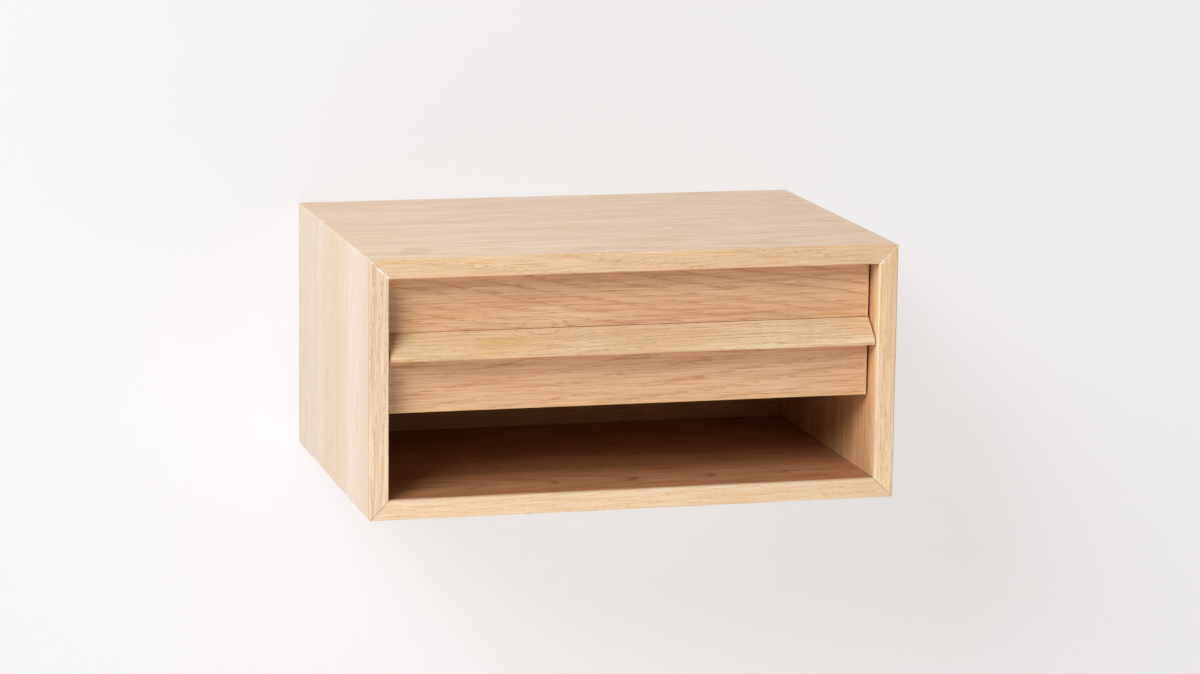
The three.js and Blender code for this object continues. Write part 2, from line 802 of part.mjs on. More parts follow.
const nightstand = new THREE.Group();
nightstand.add(carcass, drawer, makeRunner("left"), makeRunner("right"));
nightstand.position.set(0, 0, -wallFaceCentre);

export default nightstand;
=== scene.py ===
# Floating nightstand in pale oak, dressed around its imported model.
# Metres. +X is to the right, +Y goes to the wall and +Z is up, as in the model.
from functools import partial
from itertools import product
from math import cos, hypot, pi, radians, sin, tau

import bmesh
import bpy
from mathutils import Matrix, Vector


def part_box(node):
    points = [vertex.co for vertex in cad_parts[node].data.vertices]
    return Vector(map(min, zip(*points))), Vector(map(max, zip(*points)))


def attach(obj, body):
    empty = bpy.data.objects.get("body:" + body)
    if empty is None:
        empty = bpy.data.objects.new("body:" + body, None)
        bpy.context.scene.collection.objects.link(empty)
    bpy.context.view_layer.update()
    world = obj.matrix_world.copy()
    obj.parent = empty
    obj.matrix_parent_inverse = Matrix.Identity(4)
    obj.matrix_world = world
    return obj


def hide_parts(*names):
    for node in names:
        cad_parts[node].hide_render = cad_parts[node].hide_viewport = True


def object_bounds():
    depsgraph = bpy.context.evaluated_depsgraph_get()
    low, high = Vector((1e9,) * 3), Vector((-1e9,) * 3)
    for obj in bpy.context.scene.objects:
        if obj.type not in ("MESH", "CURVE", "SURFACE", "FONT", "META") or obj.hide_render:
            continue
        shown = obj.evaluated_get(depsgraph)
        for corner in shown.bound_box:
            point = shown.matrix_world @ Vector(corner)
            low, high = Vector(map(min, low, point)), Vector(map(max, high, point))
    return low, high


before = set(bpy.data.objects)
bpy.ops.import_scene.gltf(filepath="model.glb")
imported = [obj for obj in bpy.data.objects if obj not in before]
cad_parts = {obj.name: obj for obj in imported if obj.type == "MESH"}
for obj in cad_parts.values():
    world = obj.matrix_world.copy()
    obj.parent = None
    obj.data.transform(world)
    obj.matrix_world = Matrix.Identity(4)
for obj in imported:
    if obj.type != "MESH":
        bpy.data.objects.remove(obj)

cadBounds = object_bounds()
scene = bpy.context.scene
scene.view_settings.view_transform = "Standard"
mm = 0.001
print("frame:", len(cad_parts), "nodes")


def addThing(data, name=None):
    thing = bpy.data.objects.new(name or data.name, data)
    scene.collection.objects.link(thing)
    return thing


# Camera, from the photograph's edges. Yaw is to the right of the wall's normal and pitch is down.
cameraView = dict(place=(-0.93945, -3.7513, 0.70442), yaw=14.88, pitch=10.565, roll=0.71,
                  focalLength=117.66, sensorWidth=36)


def makeCamera(view):
    data = bpy.data.cameras.new("viewCamera")
    data.sensor_fit = "HORIZONTAL"
    data.sensor_width = view["sensorWidth"]
    data.lens = view["focalLength"]
    scene.camera = addThing(data)
    scene.camera.matrix_world = (
        Matrix.Translation(view["place"])
        @ Matrix.Rotation(-radians(view["yaw"]), 4, "Z")
        @ Matrix.Rotation(radians(90 - view["pitch"]), 4, "X")
        @ Matrix.Rotation(radians(view["roll"]), 4, "Z"))


makeCamera(cameraView)
print("camera set")


# Node helpers. A socket knows its tree, so only a node without links is told which tree it joins.
def paint(code):
    # a colour written as on screen, made linear for the shaders
    channels = [int(code[i:i + 2], 16) / 255 for i in (1, 3, 5)]
    return (*(c / 12.92 if c <= 0.04045 else ((c + 0.055) / 1.055) ** 2.4 for c in channels), 1.0)


def addNode(kind, values, tree=None, **settings):
    # a value is a socket, a list of sockets, a number, or a colour's code
    items = [(name, item) for name, value in values.items()
             for item in (value if isinstance(value, list) else [value])]
    tree = tree or next(item.id_data for name, item in items if isinstance(item, bpy.types.NodeSocket))
    node = tree.nodes.new(kind)
    for key, value in settings.items():
        setattr(node, key, value)
    for name, item in items:
        if isinstance(item, bpy.types.NodeSocket):
            tree.links.new(item, node.inputs[name])
        else:
            node.inputs[name].default_value = paint(item) if isinstance(item, str) else item
    return node


def output(kind, values, tree=None, **settings):
    return addNode(kind, values, tree, **settings).outputs[0]


def sums(operation, a, b=0.0, clamp=False):
    return output("ShaderNodeMath", {0: a, 1: b}, operation=operation, use_clamp=clamp)


times, plus, minus = (partial(sums, name) for name in ("MULTIPLY", "ADD", "SUBTRACT"))
over, under, absolute = (partial(sums, name) for name in ("GREATER_THAN", "LESS_THAN", "ABSOLUTE"))


def vectorSums(operation, a, b):
    return output("ShaderNodeVectorMath", {0: a, 1: b}, operation=operation)


def vectorOf(x=0.0, y=0.0, z=0.0):
    return output("ShaderNodeCombineXYZ", {0: x, 1: y, 2: z})


def blend(factor, a, b):
    return addNode("ShaderNodeMix", {0: factor, 6: a, 7: b}, data_type="RGBA").outputs[2]


def tint(colour, code, mask, show):
    return blend(times(mask, show), colour, code)


def ramp(factor, *stops):
    # stops are (place, grey level)
    node = addNode("ShaderNodeValToRGB", {"Fac": factor})
    elements = node.color_ramp.elements
    while len(elements) < len(stops):
        elements.new(0.5)
    for element, (place, level) in zip(elements, stops):
        element.position = place
        element.color = (level, level, level, 1)
    return node.outputs["Color"]


def noise(place, grid, detail=2.0, roughness=0.5, channel="Fac"):
    # the grid is lumps to a metre, alike all ways or given for each way
    laid = vectorSums("MULTIPLY", place, grid if isinstance(grid, tuple) else (grid,) * 3)
    return addNode("ShaderNodeTexNoise", {
        "Vector": laid, "Scale": 1.0, "Detail": detail, "Roughness": roughness}).outputs[channel]


def stray(place, grid, reach, detail):
    # a smooth random push, of half the reach each way
    lumps = noise(place, grid, detail, channel="Color")
    return vectorSums("MULTIPLY", vectorSums("SUBTRACT", lumps, (0.5,) * 3), reach)


def oval(place, centre, halves, peak, falloff="SMOOTHSTEP"):
    # falls from its peak at the centre to nothing at the oval's edge
    off = vectorSums("SUBTRACT", place, (*centre, 0.0))
    flat = vectorSums("MULTIPLY", off, (1 / halves[0], 1 / halves[1], 0.0))
    away = addNode("ShaderNodeVectorMath", {0: flat}, operation="LENGTH").outputs["Value"]
    return output("ShaderNodeMapRange", {"Value": away, "To Min": peak, "To Max": 0.0},
                  interpolation_type=falloff)


def objectPlace(tree):
    return tree.nodes.new("ShaderNodeTexCoord").outputs["Object"]


def apart(place):
    return addNode("ShaderNodeSeparateXYZ", {0: place}).outputs


def newMaterial(name):
    material = bpy.data.materials.new(name)
    material.use_nodes = True
    material.node_tree.nodes.clear()
    return material, material.node_tree


def finishMaterial(material, colour, roughness, height, bump, bumpReach=0.1 * mm, metallic=0, specular=0.5):
    normal = output("ShaderNodeBump", {"Height": height, "Strength": bump, "Distance": bumpReach})
    shader = output("ShaderNodeBsdfPrincipled", {
        "Base Color": colour, "Roughness": roughness, "Metallic": metallic,
        "Specular IOR Level": specular, "Normal": normal})
    addNode("ShaderNodeOutputMaterial", {"Surface": shader})
    return material


# Oak. A board is cut from a log whose heart runs along the grain, so the growth rings show as
# straight lines or as arches, depending on how far off the heart lies and how it leans.
oakDefaults = dict(
    grain="X", face="Z", shift=(0.0, 0.0, 0.0),
    tones=("#E6CDB4", "#DDBE9E", "#CDA884", "#B48C66"),  # light, deep, the rings' lines, pores
    heart=(0.0, 60 * mm),  # how far across and into the board the heart lies
    lean=1.2,  # degrees that the heart leans into the board
    skew=0.0,  # degrees that the heart turns in the board's plane
    ringGap=4.2 * mm,
    wander=5 * mm,  # how far the rings stray sideways
    poreGrid=(110, 1500, 1500), fibreGrid=(20, 760, 760),
    swirl=None,  # (along, across, reach, lift) of a small eye in the figure
    patches=(),  # (along, across, half length, half width, show, tone) of each patch
    cloud=None,  # (grid, show, tone) of a blotchy figure
    bandShow=0.7, ringShow=0.45, poreShow=0.5, fibreShow=0.5,
    roughness=0.5, bump=0.25,
    edgeHighlight=0.0,  # how far an eased edge is painted paler, a painted highlight along the arris
)
figure = dict(
    slowGrid=(1.6, 11, 11), quickGrid=(9, 75, 75), quickShare=0.16, bandGrid=(0.9, 16, 16),
    fadeGrid=(4, 60, 60), patchGrid=(7, 50, 50), swirlStretch=2.5, specular=0.35,
    lines=((0.0, 0.5), (0.06, 0.02), (0.6, 0.1), (0.84, 0.35), (0.96, 1)),
    early=((0.0, 1), (0.22, 0.75), (0.4, 0.16), (0.9, 0.12), (1.0, 0.9)),
    # the paler colour of the painted highlight on eased edges
    poreRough=0.22, poreDip=-0.8, fibreRise=0.35, edgeHighlightTone="#FBEBD2",
)
wholeLength = 9.0  # a patch this long is a stripe
axes = {"X": Vector((1, 0, 0)), "Y": Vector((0, 1, 0)), "Z": Vector((0, 0, 1))}


def grainCoordinates(tree, look):
    # along the grain, across it, and into the board
    along, facing = axes[look["grain"]], axes[look["face"]]
    turn = Matrix((along, facing.cross(along), facing)).to_euler("XYZ")
    return output("ShaderNodeMapping", {
        "Vector": objectPlace(tree), "Rotation": turn, "Location": look["shift"]})


def ringPhase(grain, look):
    log = output("ShaderNodeMapping", {
        "Vector": grain, "Location": (0.0, *look["heart"]),
        "Rotation": (0.0, radians(look["lean"]), radians(look["skew"]))})
    for grid, reach in ((figure["slowGrid"], look["wander"] * 2),
                        (figure["quickGrid"], look["wander"] * 2 * figure["quickShare"])):
        log = vectorSums("ADD", log, stray(grain, grid, (0.0, reach, reach), 1.0))
    if look["swirl"]:
        along, across, reach, lift = look["swirl"]
        halves = (reach * figure["swirlStretch"], reach)
        bulge = oval(grain, (along, across), halves, lift, "SMOOTHERSTEP")
        log = vectorSums("ADD", log, vectorOf(y=bulge, z=bulge))
    waveUnit = pi / 10  # a wave texture of scale 1 repeats at this distance
    return addNode("ShaderNodeTexWave", {"Vector": log, "Scale": waveUnit / look["ringGap"]},
                   wave_type="RINGS", wave_profile="SAW").outputs["Fac"]


def oakColour(tree, look):
    # gives the wood's colour, its open pores and its fine fibre
    light, deep, line, pore = look["tones"]
    grain = grainCoordinates(tree, look)
    phase = ringPhase(grain, look)
    bands = ramp(noise(grain, figure["bandGrid"], 3.0, 0.6), (0.36, 0), (0.64, 1))
    colour = tint(light, deep, bands, look["bandShow"])
    for along, across, halfLength, halfWidth, show, tone in look["patches"]:
        push = stray(grain, figure["patchGrid"], (halfLength * 2, halfWidth * 2, 0.0), 3.0)
        mask = oval(vectorSums("ADD", grain, push), (along, across), (halfLength, halfWidth), show)
        colour = blend(mask, colour, tone)
    if look["cloud"]:
        grid, show, tone = look["cloud"]
        colour = tint(colour, tone, ramp(noise(grain, grid, 3.0, 0.6), (0.46, 0), (0.6, 1)), show)
    fade = ramp(noise(grain, figure["fadeGrid"], 3.0), (0.4, 0.1), (0.62, 1))
    colour = tint(colour, line, times(ramp(phase, *figure["lines"]), fade), look["ringShow"])
    fibre = noise(grain, look["fibreGrid"], 3.0, 0.62)
    colour = tint(colour, line, ramp(fibre, (0.44, 0), (0.66, 1)), look["fibreShow"])
    dashes = ramp(noise(grain, look["poreGrid"], 1.0), (0.52, 0), (0.62, 1))
    pores = times(dashes, ramp(phase, *figure["early"]))
    colour = tint(colour, pore, pores, look["poreShow"])
    # painted highlight: the eased edges are coloured paler
    if look["edgeHighlight"]:
        colour = blend(look["edgeHighlight"], colour, figure["edgeHighlightTone"])
    return colour, pores, fibre


def oakMaterial(name, look, marks=None):
    look = {**oakDefaults, **look}
    material, tree = newMaterial(name)
    colour, pores, fibre = oakColour(tree, look)
    if marks:
        colour = marks(tree, colour)
    roughness = plus(times(pores, figure["poreRough"]), look["roughness"])
    height = plus(times(fibre, figure["fibreRise"]), times(pores, figure["poreDip"]))
    return finishMaterial(material, colour, roughness, height, look["bump"], specular=figure["specular"])


# Plywood: thin veneers in turn along and across, which show on the edges as stripes
plywood = dict(
    face=dict(tones=("#E9D5B4", "#DEC49B", "#CFAE80", "#B89264"), ringShow=0.3, poreShow=0.12,
              fibreShow=0.35, ringGap=7 * mm, heart=(0, 150 * mm)),
    cross=("#C79F6E", "#A97F50"), crossShow=0.45, endGrid=900, glue="#8E6A45", glueShow=0.6,
    glueShare=0.1, faceOver=0.7, fibreRise=0.4, glueDip=0.2, roughness=0.5, roughShare=0.3, bump=0.2,
)


def plyMaterial(name, solid, thin, grain, shift=(0.0, 0.0, 0.0), plies=9):
    material, tree = newMaterial(name)
    index = "XYZ".index(thin)
    low, high = (corner[index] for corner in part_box(solid))
    coordinates = tree.nodes.new("ShaderNodeTexCoord").outputs
    onFace = over(absolute(apart(coordinates["Normal"])[index]), plywood["faceOver"])
    ply = times(minus(apart(coordinates["Object"])[index], low), plies / (high - low))
    odd = over(sums("FRACT", times(ply, 0.5)), 0.5)
    look = {**oakDefaults, **plywood["face"], "grain": grain, "face": thin, "shift": shift}
    faceColour, pores, fibre = oakColour(tree, look)
    ends = ramp(noise(coordinates["Object"], plywood["endGrid"]), (0.4, 0), (0.7, 1))
    endMask = times(ends, plywood["crossShow"])
    stripes = blend(odd, plywood["face"]["tones"][0], blend(endMask, *plywood["cross"]))
    glue = under(sums("FRACT", ply), plywood["glueShare"])
    edgeColour = tint(stripes, plywood["glue"], glue, plywood["glueShow"])
    height = minus(times(fibre, plywood["fibreRise"]), times(glue, plywood["glueDip"]))
    roughness = plus(times(endMask, plywood["roughShare"]), plywood["roughness"])
    return finishMaterial(material, blend(onFace, edgeColour, faceColour), roughness, height, plywood["bump"])


# The carcass's own measures
carcassHalf, carcassTop = (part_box("top_panel")[1][i] for i in (0, 2))
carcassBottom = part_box("bottom_panel")[0].z
carcassMiddle = (carcassTop + carcassBottom) / 2
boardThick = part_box("bottom_panel")[1].z - carcassBottom
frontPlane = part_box("top_front_lipping")[0].y


def depthFromOutside(place):
    # how deep a point lies from the sides and from the top or bottom, and its height from the middle
    x, y, z = apart(place)
    height = minus(z, carcassMiddle)
    return minus(carcassHalf, absolute(x)), minus(carcassTop - carcassMiddle, absolute(height)), height


# Fibreboard core, which shows only on the boards' raw rear edges, between its two veneers
mdf = dict(clumpGrid=420, fineGrid=2600, clumps=("#C3A073", "#A98356"), fine="#8F6C44", fineShow=0.3,
           veneer="#E8CFAE", veneerThick=0.6 * mm, veneerShow=0.8, roughness=0.7, roughShare=0.2, bump=0.4)


def coreMaterial():
    material, tree = newMaterial("fibreboardCore")
    place = objectPlace(tree)
    clumps = noise(place, mdf["clumpGrid"], 3.0, 0.65)
    fine = noise(place, mdf["fineGrid"])
    colour = blend(ramp(clumps, (0.35, 0), (0.68, 1)), *mdf["clumps"])
    colour = tint(colour, mdf["fine"], fine, mdf["fineShow"])
    fromSide, fromEnd = depthFromOutside(place)[:2]
    fromMiddle = absolute(minus(sums("MINIMUM", fromSide, fromEnd), boardThick / 2))
    veneer = over(fromMiddle, boardThick / 2 - mdf["veneerThick"])
    colour = tint(colour, mdf["veneer"], veneer, mdf["veneerShow"])
    roughness = plus(times(fine, mdf["roughShare"]), mdf["roughness"])
    return finishMaterial(material, colour, roughness, clumps, mdf["bump"])


# Bright metal, brushed along one axis
steel = dict(brushGrid=1500, alongGrid=30, blotchGrid=55, brushRough=0.16, blotchRough=0.1, bump=0.15,
             bumpReach=0.02 * mm)


def steelMaterial(name, pale, dark, roughness, brushed="Y"):
    material, tree = newMaterial(name)
    place = objectPlace(tree)
    grid = tuple(steel["alongGrid"] if axis == brushed else steel["brushGrid"] for axis in "XYZ")
    scratches = noise(place, grid, 3.0, 0.7)
    blotches = noise(place, steel["blotchGrid"])
    colour = blend(ramp(blotches, (0.35, 0), (0.7, 1)), pale, dark)
    rough = plus(times(scratches, steel["brushRough"]), times(blotches, steel["blotchRough"]))
    return finishMaterial(material, colour, plus(rough, roughness), scratches, steel["bump"],
                          steel["bumpReach"], 1.0)


# Boards and strips: a welded copy of each solid gets eased edges, which catch the light
weldReach = 0.002 * mm
flatAngle = radians(0.4)
sharpAngle = radians(38)
easedAngle = radians(30)
easedSteps = 3
easeWidths = dict(carcass=0.5, lipping=0.35, batten=0.8, panel=0.3, strip=0.15, box=0.6)  # mm


def settle(piece):
    # makes the modifiers' result the piece's own mesh
    evaluated = piece.evaluated_get(bpy.context.evaluated_depsgraph_get())
    mesh = bpy.data.meshes.new_from_object(evaluated)
    piece.modifiers.clear()
    piece.data = mesh


def smoothBends(piece):
    # soft bends, hard corners, and flat faces that stay flat
    piece.data.shade_smooth()
    piece.data.set_sharp_from_angle(angle=sharpAngle)
    piece.modifiers.new("weigh", "WEIGHTED_NORMAL").keep_sharp = True
    settle(piece)


def standFor(piece, body, slot, *solids):
    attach(piece, body)
    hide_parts(*solids)


def meshFrom(name, shell):
    mesh = bpy.data.meshes.new(name)
    shell.to_mesh(mesh)
    shell.free()
    return mesh


def longConvex(minLength):
    def choose(edge):
        if len(edge.link_faces) != 2 or edge.calc_length() < minLength:
            return 0.0
        return 1.0 if edge.calc_face_angle_signed() > easedAngle else 0.0
    return choose


def easedCopy(solid, body, slot, materials, ease, choose):
    # the last material is for the eased edges
    shell = bmesh.new()
    shell.from_mesh(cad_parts[solid].data)
    bmesh.ops.remove_doubles(shell, verts=shell.verts, dist=weldReach)
    bmesh.ops.dissolve_limit(shell, angle_limit=flatAngle, verts=shell.verts, edges=shell.edges)
    weights = shell.edges.layers.float.new("bevel_weight_edge")
    for edge in shell.edges:
        edge[weights] = choose(edge)
    mesh = meshFrom(solid + "_eased", shell)
    for material in materials:
        mesh.materials.append(material)
    piece = addThing(mesh)
    if ease:
        bevel = piece.modifiers.new("ease", "BEVEL")
        bevel.limit_method = "WEIGHT"
        bevel.width = ease * mm
        bevel.segments = easedSteps
        bevel.material = len(materials) - 1
        settle(piece)
    smoothBends(piece)
    standFor(piece, body, slot, solid)
    return piece


def dress(solid, material):
    # a solid whose shape is right keeps its mesh and gets a better finish
    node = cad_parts[solid]
    if not node.material_slots:
        node.data.materials.append(material)
    for slot in node.material_slots:
        slot.material = material


# The four walls of the carcass, veneered inside and out
topPanel = dict(
    grain="X", face="Z", shift=(0.31, 0.12, 0.0), heart=(0.19, 0.05),
    tones=("#ECD8C4", "#DFC5AC", "#CCA98B", "#BE997C"), ringGap=4 * mm, ringShow=0.8, poreShow=0.5,
    fibreShow=0.88, bandShow=0.8, wander=7 * mm, fibreGrid=(14, 620, 620),
)
sidePanel = dict(
    grain="Z", face="X", tones=("#F5E8DD", "#ECD9C6", "#DEC1A1", "#CDA880"), heart=(0.2, 0.07),
    ringGap=6.5 * mm, ringShow=0.42, poreShow=0.35, fibreShow=0.62, bandShow=0.95, wander=6 * mm,
)
boards = dict(
    top_panel=topPanel,
    bottom_panel={**topPanel, "shift": (0.07, 0.29, 0.0)},
    left_side={**sidePanel, "shift": (0.4, 0.31, 0.0),
               "patches": [(0.4, 0.5, wholeLength, 75 * mm, 0.5, "#EAD0AE")]},
    right_side={**sidePanel, "shift": (0.9, -0.2, 0.1)},
)
innerVeneer = dict(tones=("#D6B48C", "#C69A70", "#A4754A", "#8C5F38"), ringShow=0.5, poreShow=0.45)
innerVeneers = dict(
    bottom_panel=dict(
        tones=("#BE8C68", "#AF7751", "#7E4C2C", "#7E4E2E"), heart=(0.012, 0.05), ringGap=6 * mm,
        ringShow=0.95, poreShow=0.5, lean=5.0, wander=6 * mm,
        patches=[(0.12, -0.038, 80 * mm, 5 * mm, 0.6, "#8A5838")]),
    right_side=dict(
        shift=(0.5, 0.2, 0.1), tones=("#DDB186", "#C99468", "#A26B44", "#8C5F38"),
        # painted light: a pale stripe along the front of the inner face, where the light falls into the
        # carcass
        patches=[(0.5, 0.545, wholeLength, 22 * mm, 1.0, "#EED2A4")]),
)
# the painted shade line along the carcass's inner corners, and pale specks of dust
cornerShadeAndDust = dict(reach=0.45 * mm, colour="#5E3F28", show=0.6, speck="#D8BF9F", speckShow=0.5,
              speckGrid=310, speckOver=0.78, spreadGrid=37, spreadOver=0.57)
# how strongly the eased edges are painted paler, a painted highlight
edgeHighlightShow = 0.3
longEdge = 0.1
rearReach = 0.5 * mm
innerIndex, coreIndex = 1, 2  # in a board's materials, after its outer veneer
squareOn, askew = 0.9, 0.1  # how much of a length or a normal lies along one axis


def rearEdges(edge):
    # only the long edges round the open back are eased
    atWall = all(abs(corner.co.y) < rearReach for corner in edge.verts)
    run = edge.verts[1].co - edge.verts[0].co
    straight = max(abs(run.x), abs(run.z)) > squareOn * run.length
    return longConvex(longEdge)(edge) if atWall and straight else 0.0


def shareFaces(board):
    # the faces that look into the carcass have their own veneer, and the ends at the wall are raw
    middle = Vector((0, 0, carcassMiddle))
    for face in board.data.polygons:
        inward = face.normal.dot(middle - face.center)
        if face.normal.y > squareOn and abs(face.center.y) < rearReach:
            face.material_index = coreIndex
        elif inward > 0 and abs(face.normal.y) < askew:
            face.material_index = innerIndex


def paintCornerShadeAndDust(tree, colour):
    # painted shade: a fine dark line along the inner corners, where shade falls between the boards, and a few
    # pale specks of dust
    place = objectPlace(tree)
    fromSide, fromEnd = depthFromOutside(place)[:2]
    corner = minus(sums("MAXIMUM", fromSide, fromEnd), boardThick)
    # painted shade in the inner corner
    colour = tint(colour, cornerShadeAndDust["colour"], under(corner, cornerShadeAndDust["reach"]), cornerShadeAndDust["show"])
    speck = over(noise(place, cornerShadeAndDust["speckGrid"], 0.0), cornerShadeAndDust["speckOver"])
    here = over(noise(place, cornerShadeAndDust["spreadGrid"], 1.0), cornerShadeAndDust["spreadOver"])
    return tint(colour, cornerShadeAndDust["speck"], times(speck, here), cornerShadeAndDust["speckShow"])


core = coreMaterial()
for solid, look in boards.items():
    veneer = oakMaterial(solid + "Oak", look)
    inner = {**look, **innerVeneer, **innerVeneers.get(solid, {})}
    lining = oakMaterial(solid + "Inner", inner, paintCornerShadeAndDust)
    # the eased edges get a painted highlight, a paler copy of the veneer
    highlightedEdge = oakMaterial(solid + "Rubbed", {**look, "edgeHighlight": edgeHighlightShow})
    shareFaces(easedCopy(solid, "carcass", "oak_veneer", [veneer, lining, core, highlightedEdge],
                         easeWidths["carcass"], rearEdges))
print("carcass boards done")


# Lippings: solid strips round the front, mitred, with filler in the joints
lipping = dict(
    tones=("#EAD6B9", "#DFC298", "#D2A470", "#BA8856"), heart=(0.035, 0.012),
    ringGap=3.4 * mm, ringShow=0.4, poreShow=0.6, fibreShow=0.75, bandShow=0.9, wander=3 * mm,
    roughness=0.46, poreGrid=(130, 1700, 1700), fibreGrid=(26, 980, 980), face="Y",
)
lippings = dict(
    top=dict(grain="X", shift=(0.2, 0.03, 0.0), tones=("#E7D0B0", "#DABA92", "#CA9A68", "#B48152")),
    bottom=dict(grain="X", shift=(0.75, 0.05, 0.01), tones=("#E1D2BC", "#D7BF9D", "#CFA673", "#B98857")),
    left=dict(grain="Z", shift=(0.1, 0.02, 0.02), tones=("#E9DCCC", "#DECBB1", "#C8A67C", "#B88E62"),
              ringShow=0.5, poreShow=0.8),
    right=dict(grain="Z", shift=(0.5, 0.04, 0.03)),
)
mitre = dict(
    filler="#F6EFE6", fillerHalf=1.2 * mm, fillerGrid=430, fillerShow=0.85, fillerEdgeShare=0.25,
    crumbGrid=560, crumbReach=3.2 * mm, crumbStart=7 * mm,
    line="#7E6048", lineHalf=0.3 * mm, lineShow=0.95, upperFade=0.5,
    cornerReach=1.5 * mm, cornerWeight=0.15, cornerAngle=60, arrisAngle=20,
)


def mitreMarks(tree, colour):
    # a point on a mitre lies equally deep from both outer faces
    place = objectPlace(tree)
    fromSide, fromEnd, height = depthFromOutside(place)
    aside = minus(fromSide, fromEnd)
    off = absolute(aside)
    upper = over(height, 0.0)
    half = mitre["fillerHalf"]
    ragged = ramp(noise(place, mitre["fillerGrid"]), (0.4, 0.05), (0.64, 1))
    filled = output("ShaderNodeMapRange", {
        "Value": minus(times(ragged, half), off), "From Max": half * mitre["fillerEdgeShare"]})
    crumbs = ramp(noise(place, mitre["crumbGrid"]), (0.53, 0), (0.6, 0.8))
    crumbs = times(crumbs, under(off, mitre["crumbReach"]))
    crumbs = times(crumbs, over(fromEnd, mitre["crumbStart"]))
    colour = tint(colour, mitre["filler"], times(sums("MAXIMUM", filled, crumbs), upper),
                  mitre["fillerShow"])
    # the upper joints' line is fainter and runs beside the filler
    beside = absolute(minus(aside, times(upper, half)))
    strength = minus(mitre["lineShow"], times(upper, mitre["upperFade"]))
    return blend(times(under(beside, mitre["lineHalf"]), strength), colour, mitre["line"])


def lippingEdges(edge):
    # long arrises in full, and the joints' own edges hardly at all
    angle = edge.calc_face_angle_signed()
    if edge.calc_length() > longEdge:
        return 1.0 if angle > radians(mitre["arrisAngle"]) else 0.0
    atFront = all(corner.co.y < frontPlane + mitre["cornerReach"] for corner in edge.verts)
    return mitre["cornerWeight"] if atFront and angle > radians(mitre["cornerAngle"]) else 0.0


for key, shape in lippings.items():
    look = {**lipping, **shape}
    strip = oakMaterial(key + "LippingOak", look, mitreMarks)
    # the eased edges get a fainter painted highlight, a paler copy of the strip
    highlightedEdge = oakMaterial(key + "LippingRubbed", {**look, "edgeHighlight": edgeHighlightShow / 2}, mitreMarks)
    easedCopy(key + "_front_lipping", "carcass", "oak_solid", [strip, highlightedEdge], easeWidths["lipping"],
              lippingEdges)
print("lippings done")


# Back panel, the two halves of the batten in bare sawn pine, and the tongues in the mitres
backPanel = dict(
    grain="X", face="Y", shift=(0.6, 0.1, 0.0), heart=(0.02, 0.04),
    tones=("#C39E77", "#B88B64", "#96683F", "#7F5632"), ringShow=0.5, lean=2.5,
)
pine = dict(
    grain="X", face="Y", tones=("#E9D2A2", "#E0C48D", "#BE8F55", "#C79C62"), ringShow=0.75,
    poreShow=0.1, fibreShow=0.4, ringGap=5.5 * mm, heart=(0, 38 * mm), lean=0.8, wander=3 * mm,
    roughness=0.68, bump=0.5,
)
dress("back_panel", oakMaterial("backPanelOak", backPanel))
for solid, shift in dict(cabinet_cleat=(0.2, 0.0, 0.02), wall_cleat=(1.1, 0.03, 0.0)).items():
    sawn = oakMaterial(solid + "Pine", {**pine, "shift": shift})
    easedCopy(solid, "carcass", "pine", [sawn], easeWidths["batten"], longConvex(longEdge))
tonguePly = plyMaterial("tonguePly", "mitre_tongue_top_left", "X", "Y")
for key in ("top_left", "top_right", "bottom_left", "bottom_right"):
    dress("mitre_tongue_" + key, tonguePly)
print("back panel and battens done")


# Drawer front: two veneered panels with thin solid strips on their edges
drawerPanel = dict(
    grain="X", face="Y", ringShow=0.7, poreShow=0.55, fibreShow=0.7, bandShow=0.9, ringGap=4.4 * mm,
    fibreGrid=(14, 820, 820), poreGrid=(80, 1400, 1400),
)
drawerPanels = dict(
    upper_front_panel=dict(
        shift=(0.36, 0.0, 0.0), heart=(-0.05, 0.04), lean=2.6, skew=-5.5,
        wander=9 * mm, tones=("#E5C39D", "#D3A77E", "#B98458", "#A0643A"),
        swirl=(0.277, -0.06, 13 * mm, 5 * mm),
        # the first patch is painted light: a paler, redder stripe along the panel's top, lifting the shade
        # under the top lipping; the second is the wood's figure
        patches=[(0.36, -0.103, wholeLength, 16 * mm, 0.75, "#E8B890"),
                 (0.29, -0.066, 60 * mm, 10 * mm, 0.6, "#EBD0AC")]),
    lower_front_panel=dict(
        shift=(0.9, 0.02, 0.0), heart=(0.055, 0.05), lean=1.6, skew=2.6,
        tones=("#E1C19E", "#D0A680", "#B98458", "#A0643A"), ringShow=0.55,
        # the first patch is painted light: a paler, redder stripe along the panel's top, lifting the shade
        # under the pull; the second is the wood's figure
        patches=[(0.9, -0.006, wholeLength, 17 * mm, 0.85, "#EDBF98"),
                 (0.84, -0.008, 45 * mm, 4 * mm, 0.6, "#C98A62")]),
)
frontStrip = dict(tones=("#DDBB90", "#D2A97A", "#C0905F", "#A9784A"), ringShow=0.3, poreShow=0.4,
                  roughness=0.45, face="Y")
shortestStrip = 0.03
for solid, shape in drawerPanels.items():
    veneer = oakMaterial(solid + "Oak", {**drawerPanel, **shape})
    easedCopy(solid, "drawer", "drawer_veneer", [veneer], easeWidths["panel"], longConvex(longEdge))
for key in ("upper_front_top", "lower_front_bottom", "upper_front_left", "upper_front_right",
            "lower_front_left", "lower_front_right"):
    along = "Z" if key.endswith(("left", "right")) else "X"
    strip = oakMaterial(key + "EdgeOak", {**frontStrip, "grain": along})
    easedCopy(key + "_edge", "drawer", "oak_solid", [strip], easeWidths["strip"], longConvex(shortestStrip))
print("drawer front done")


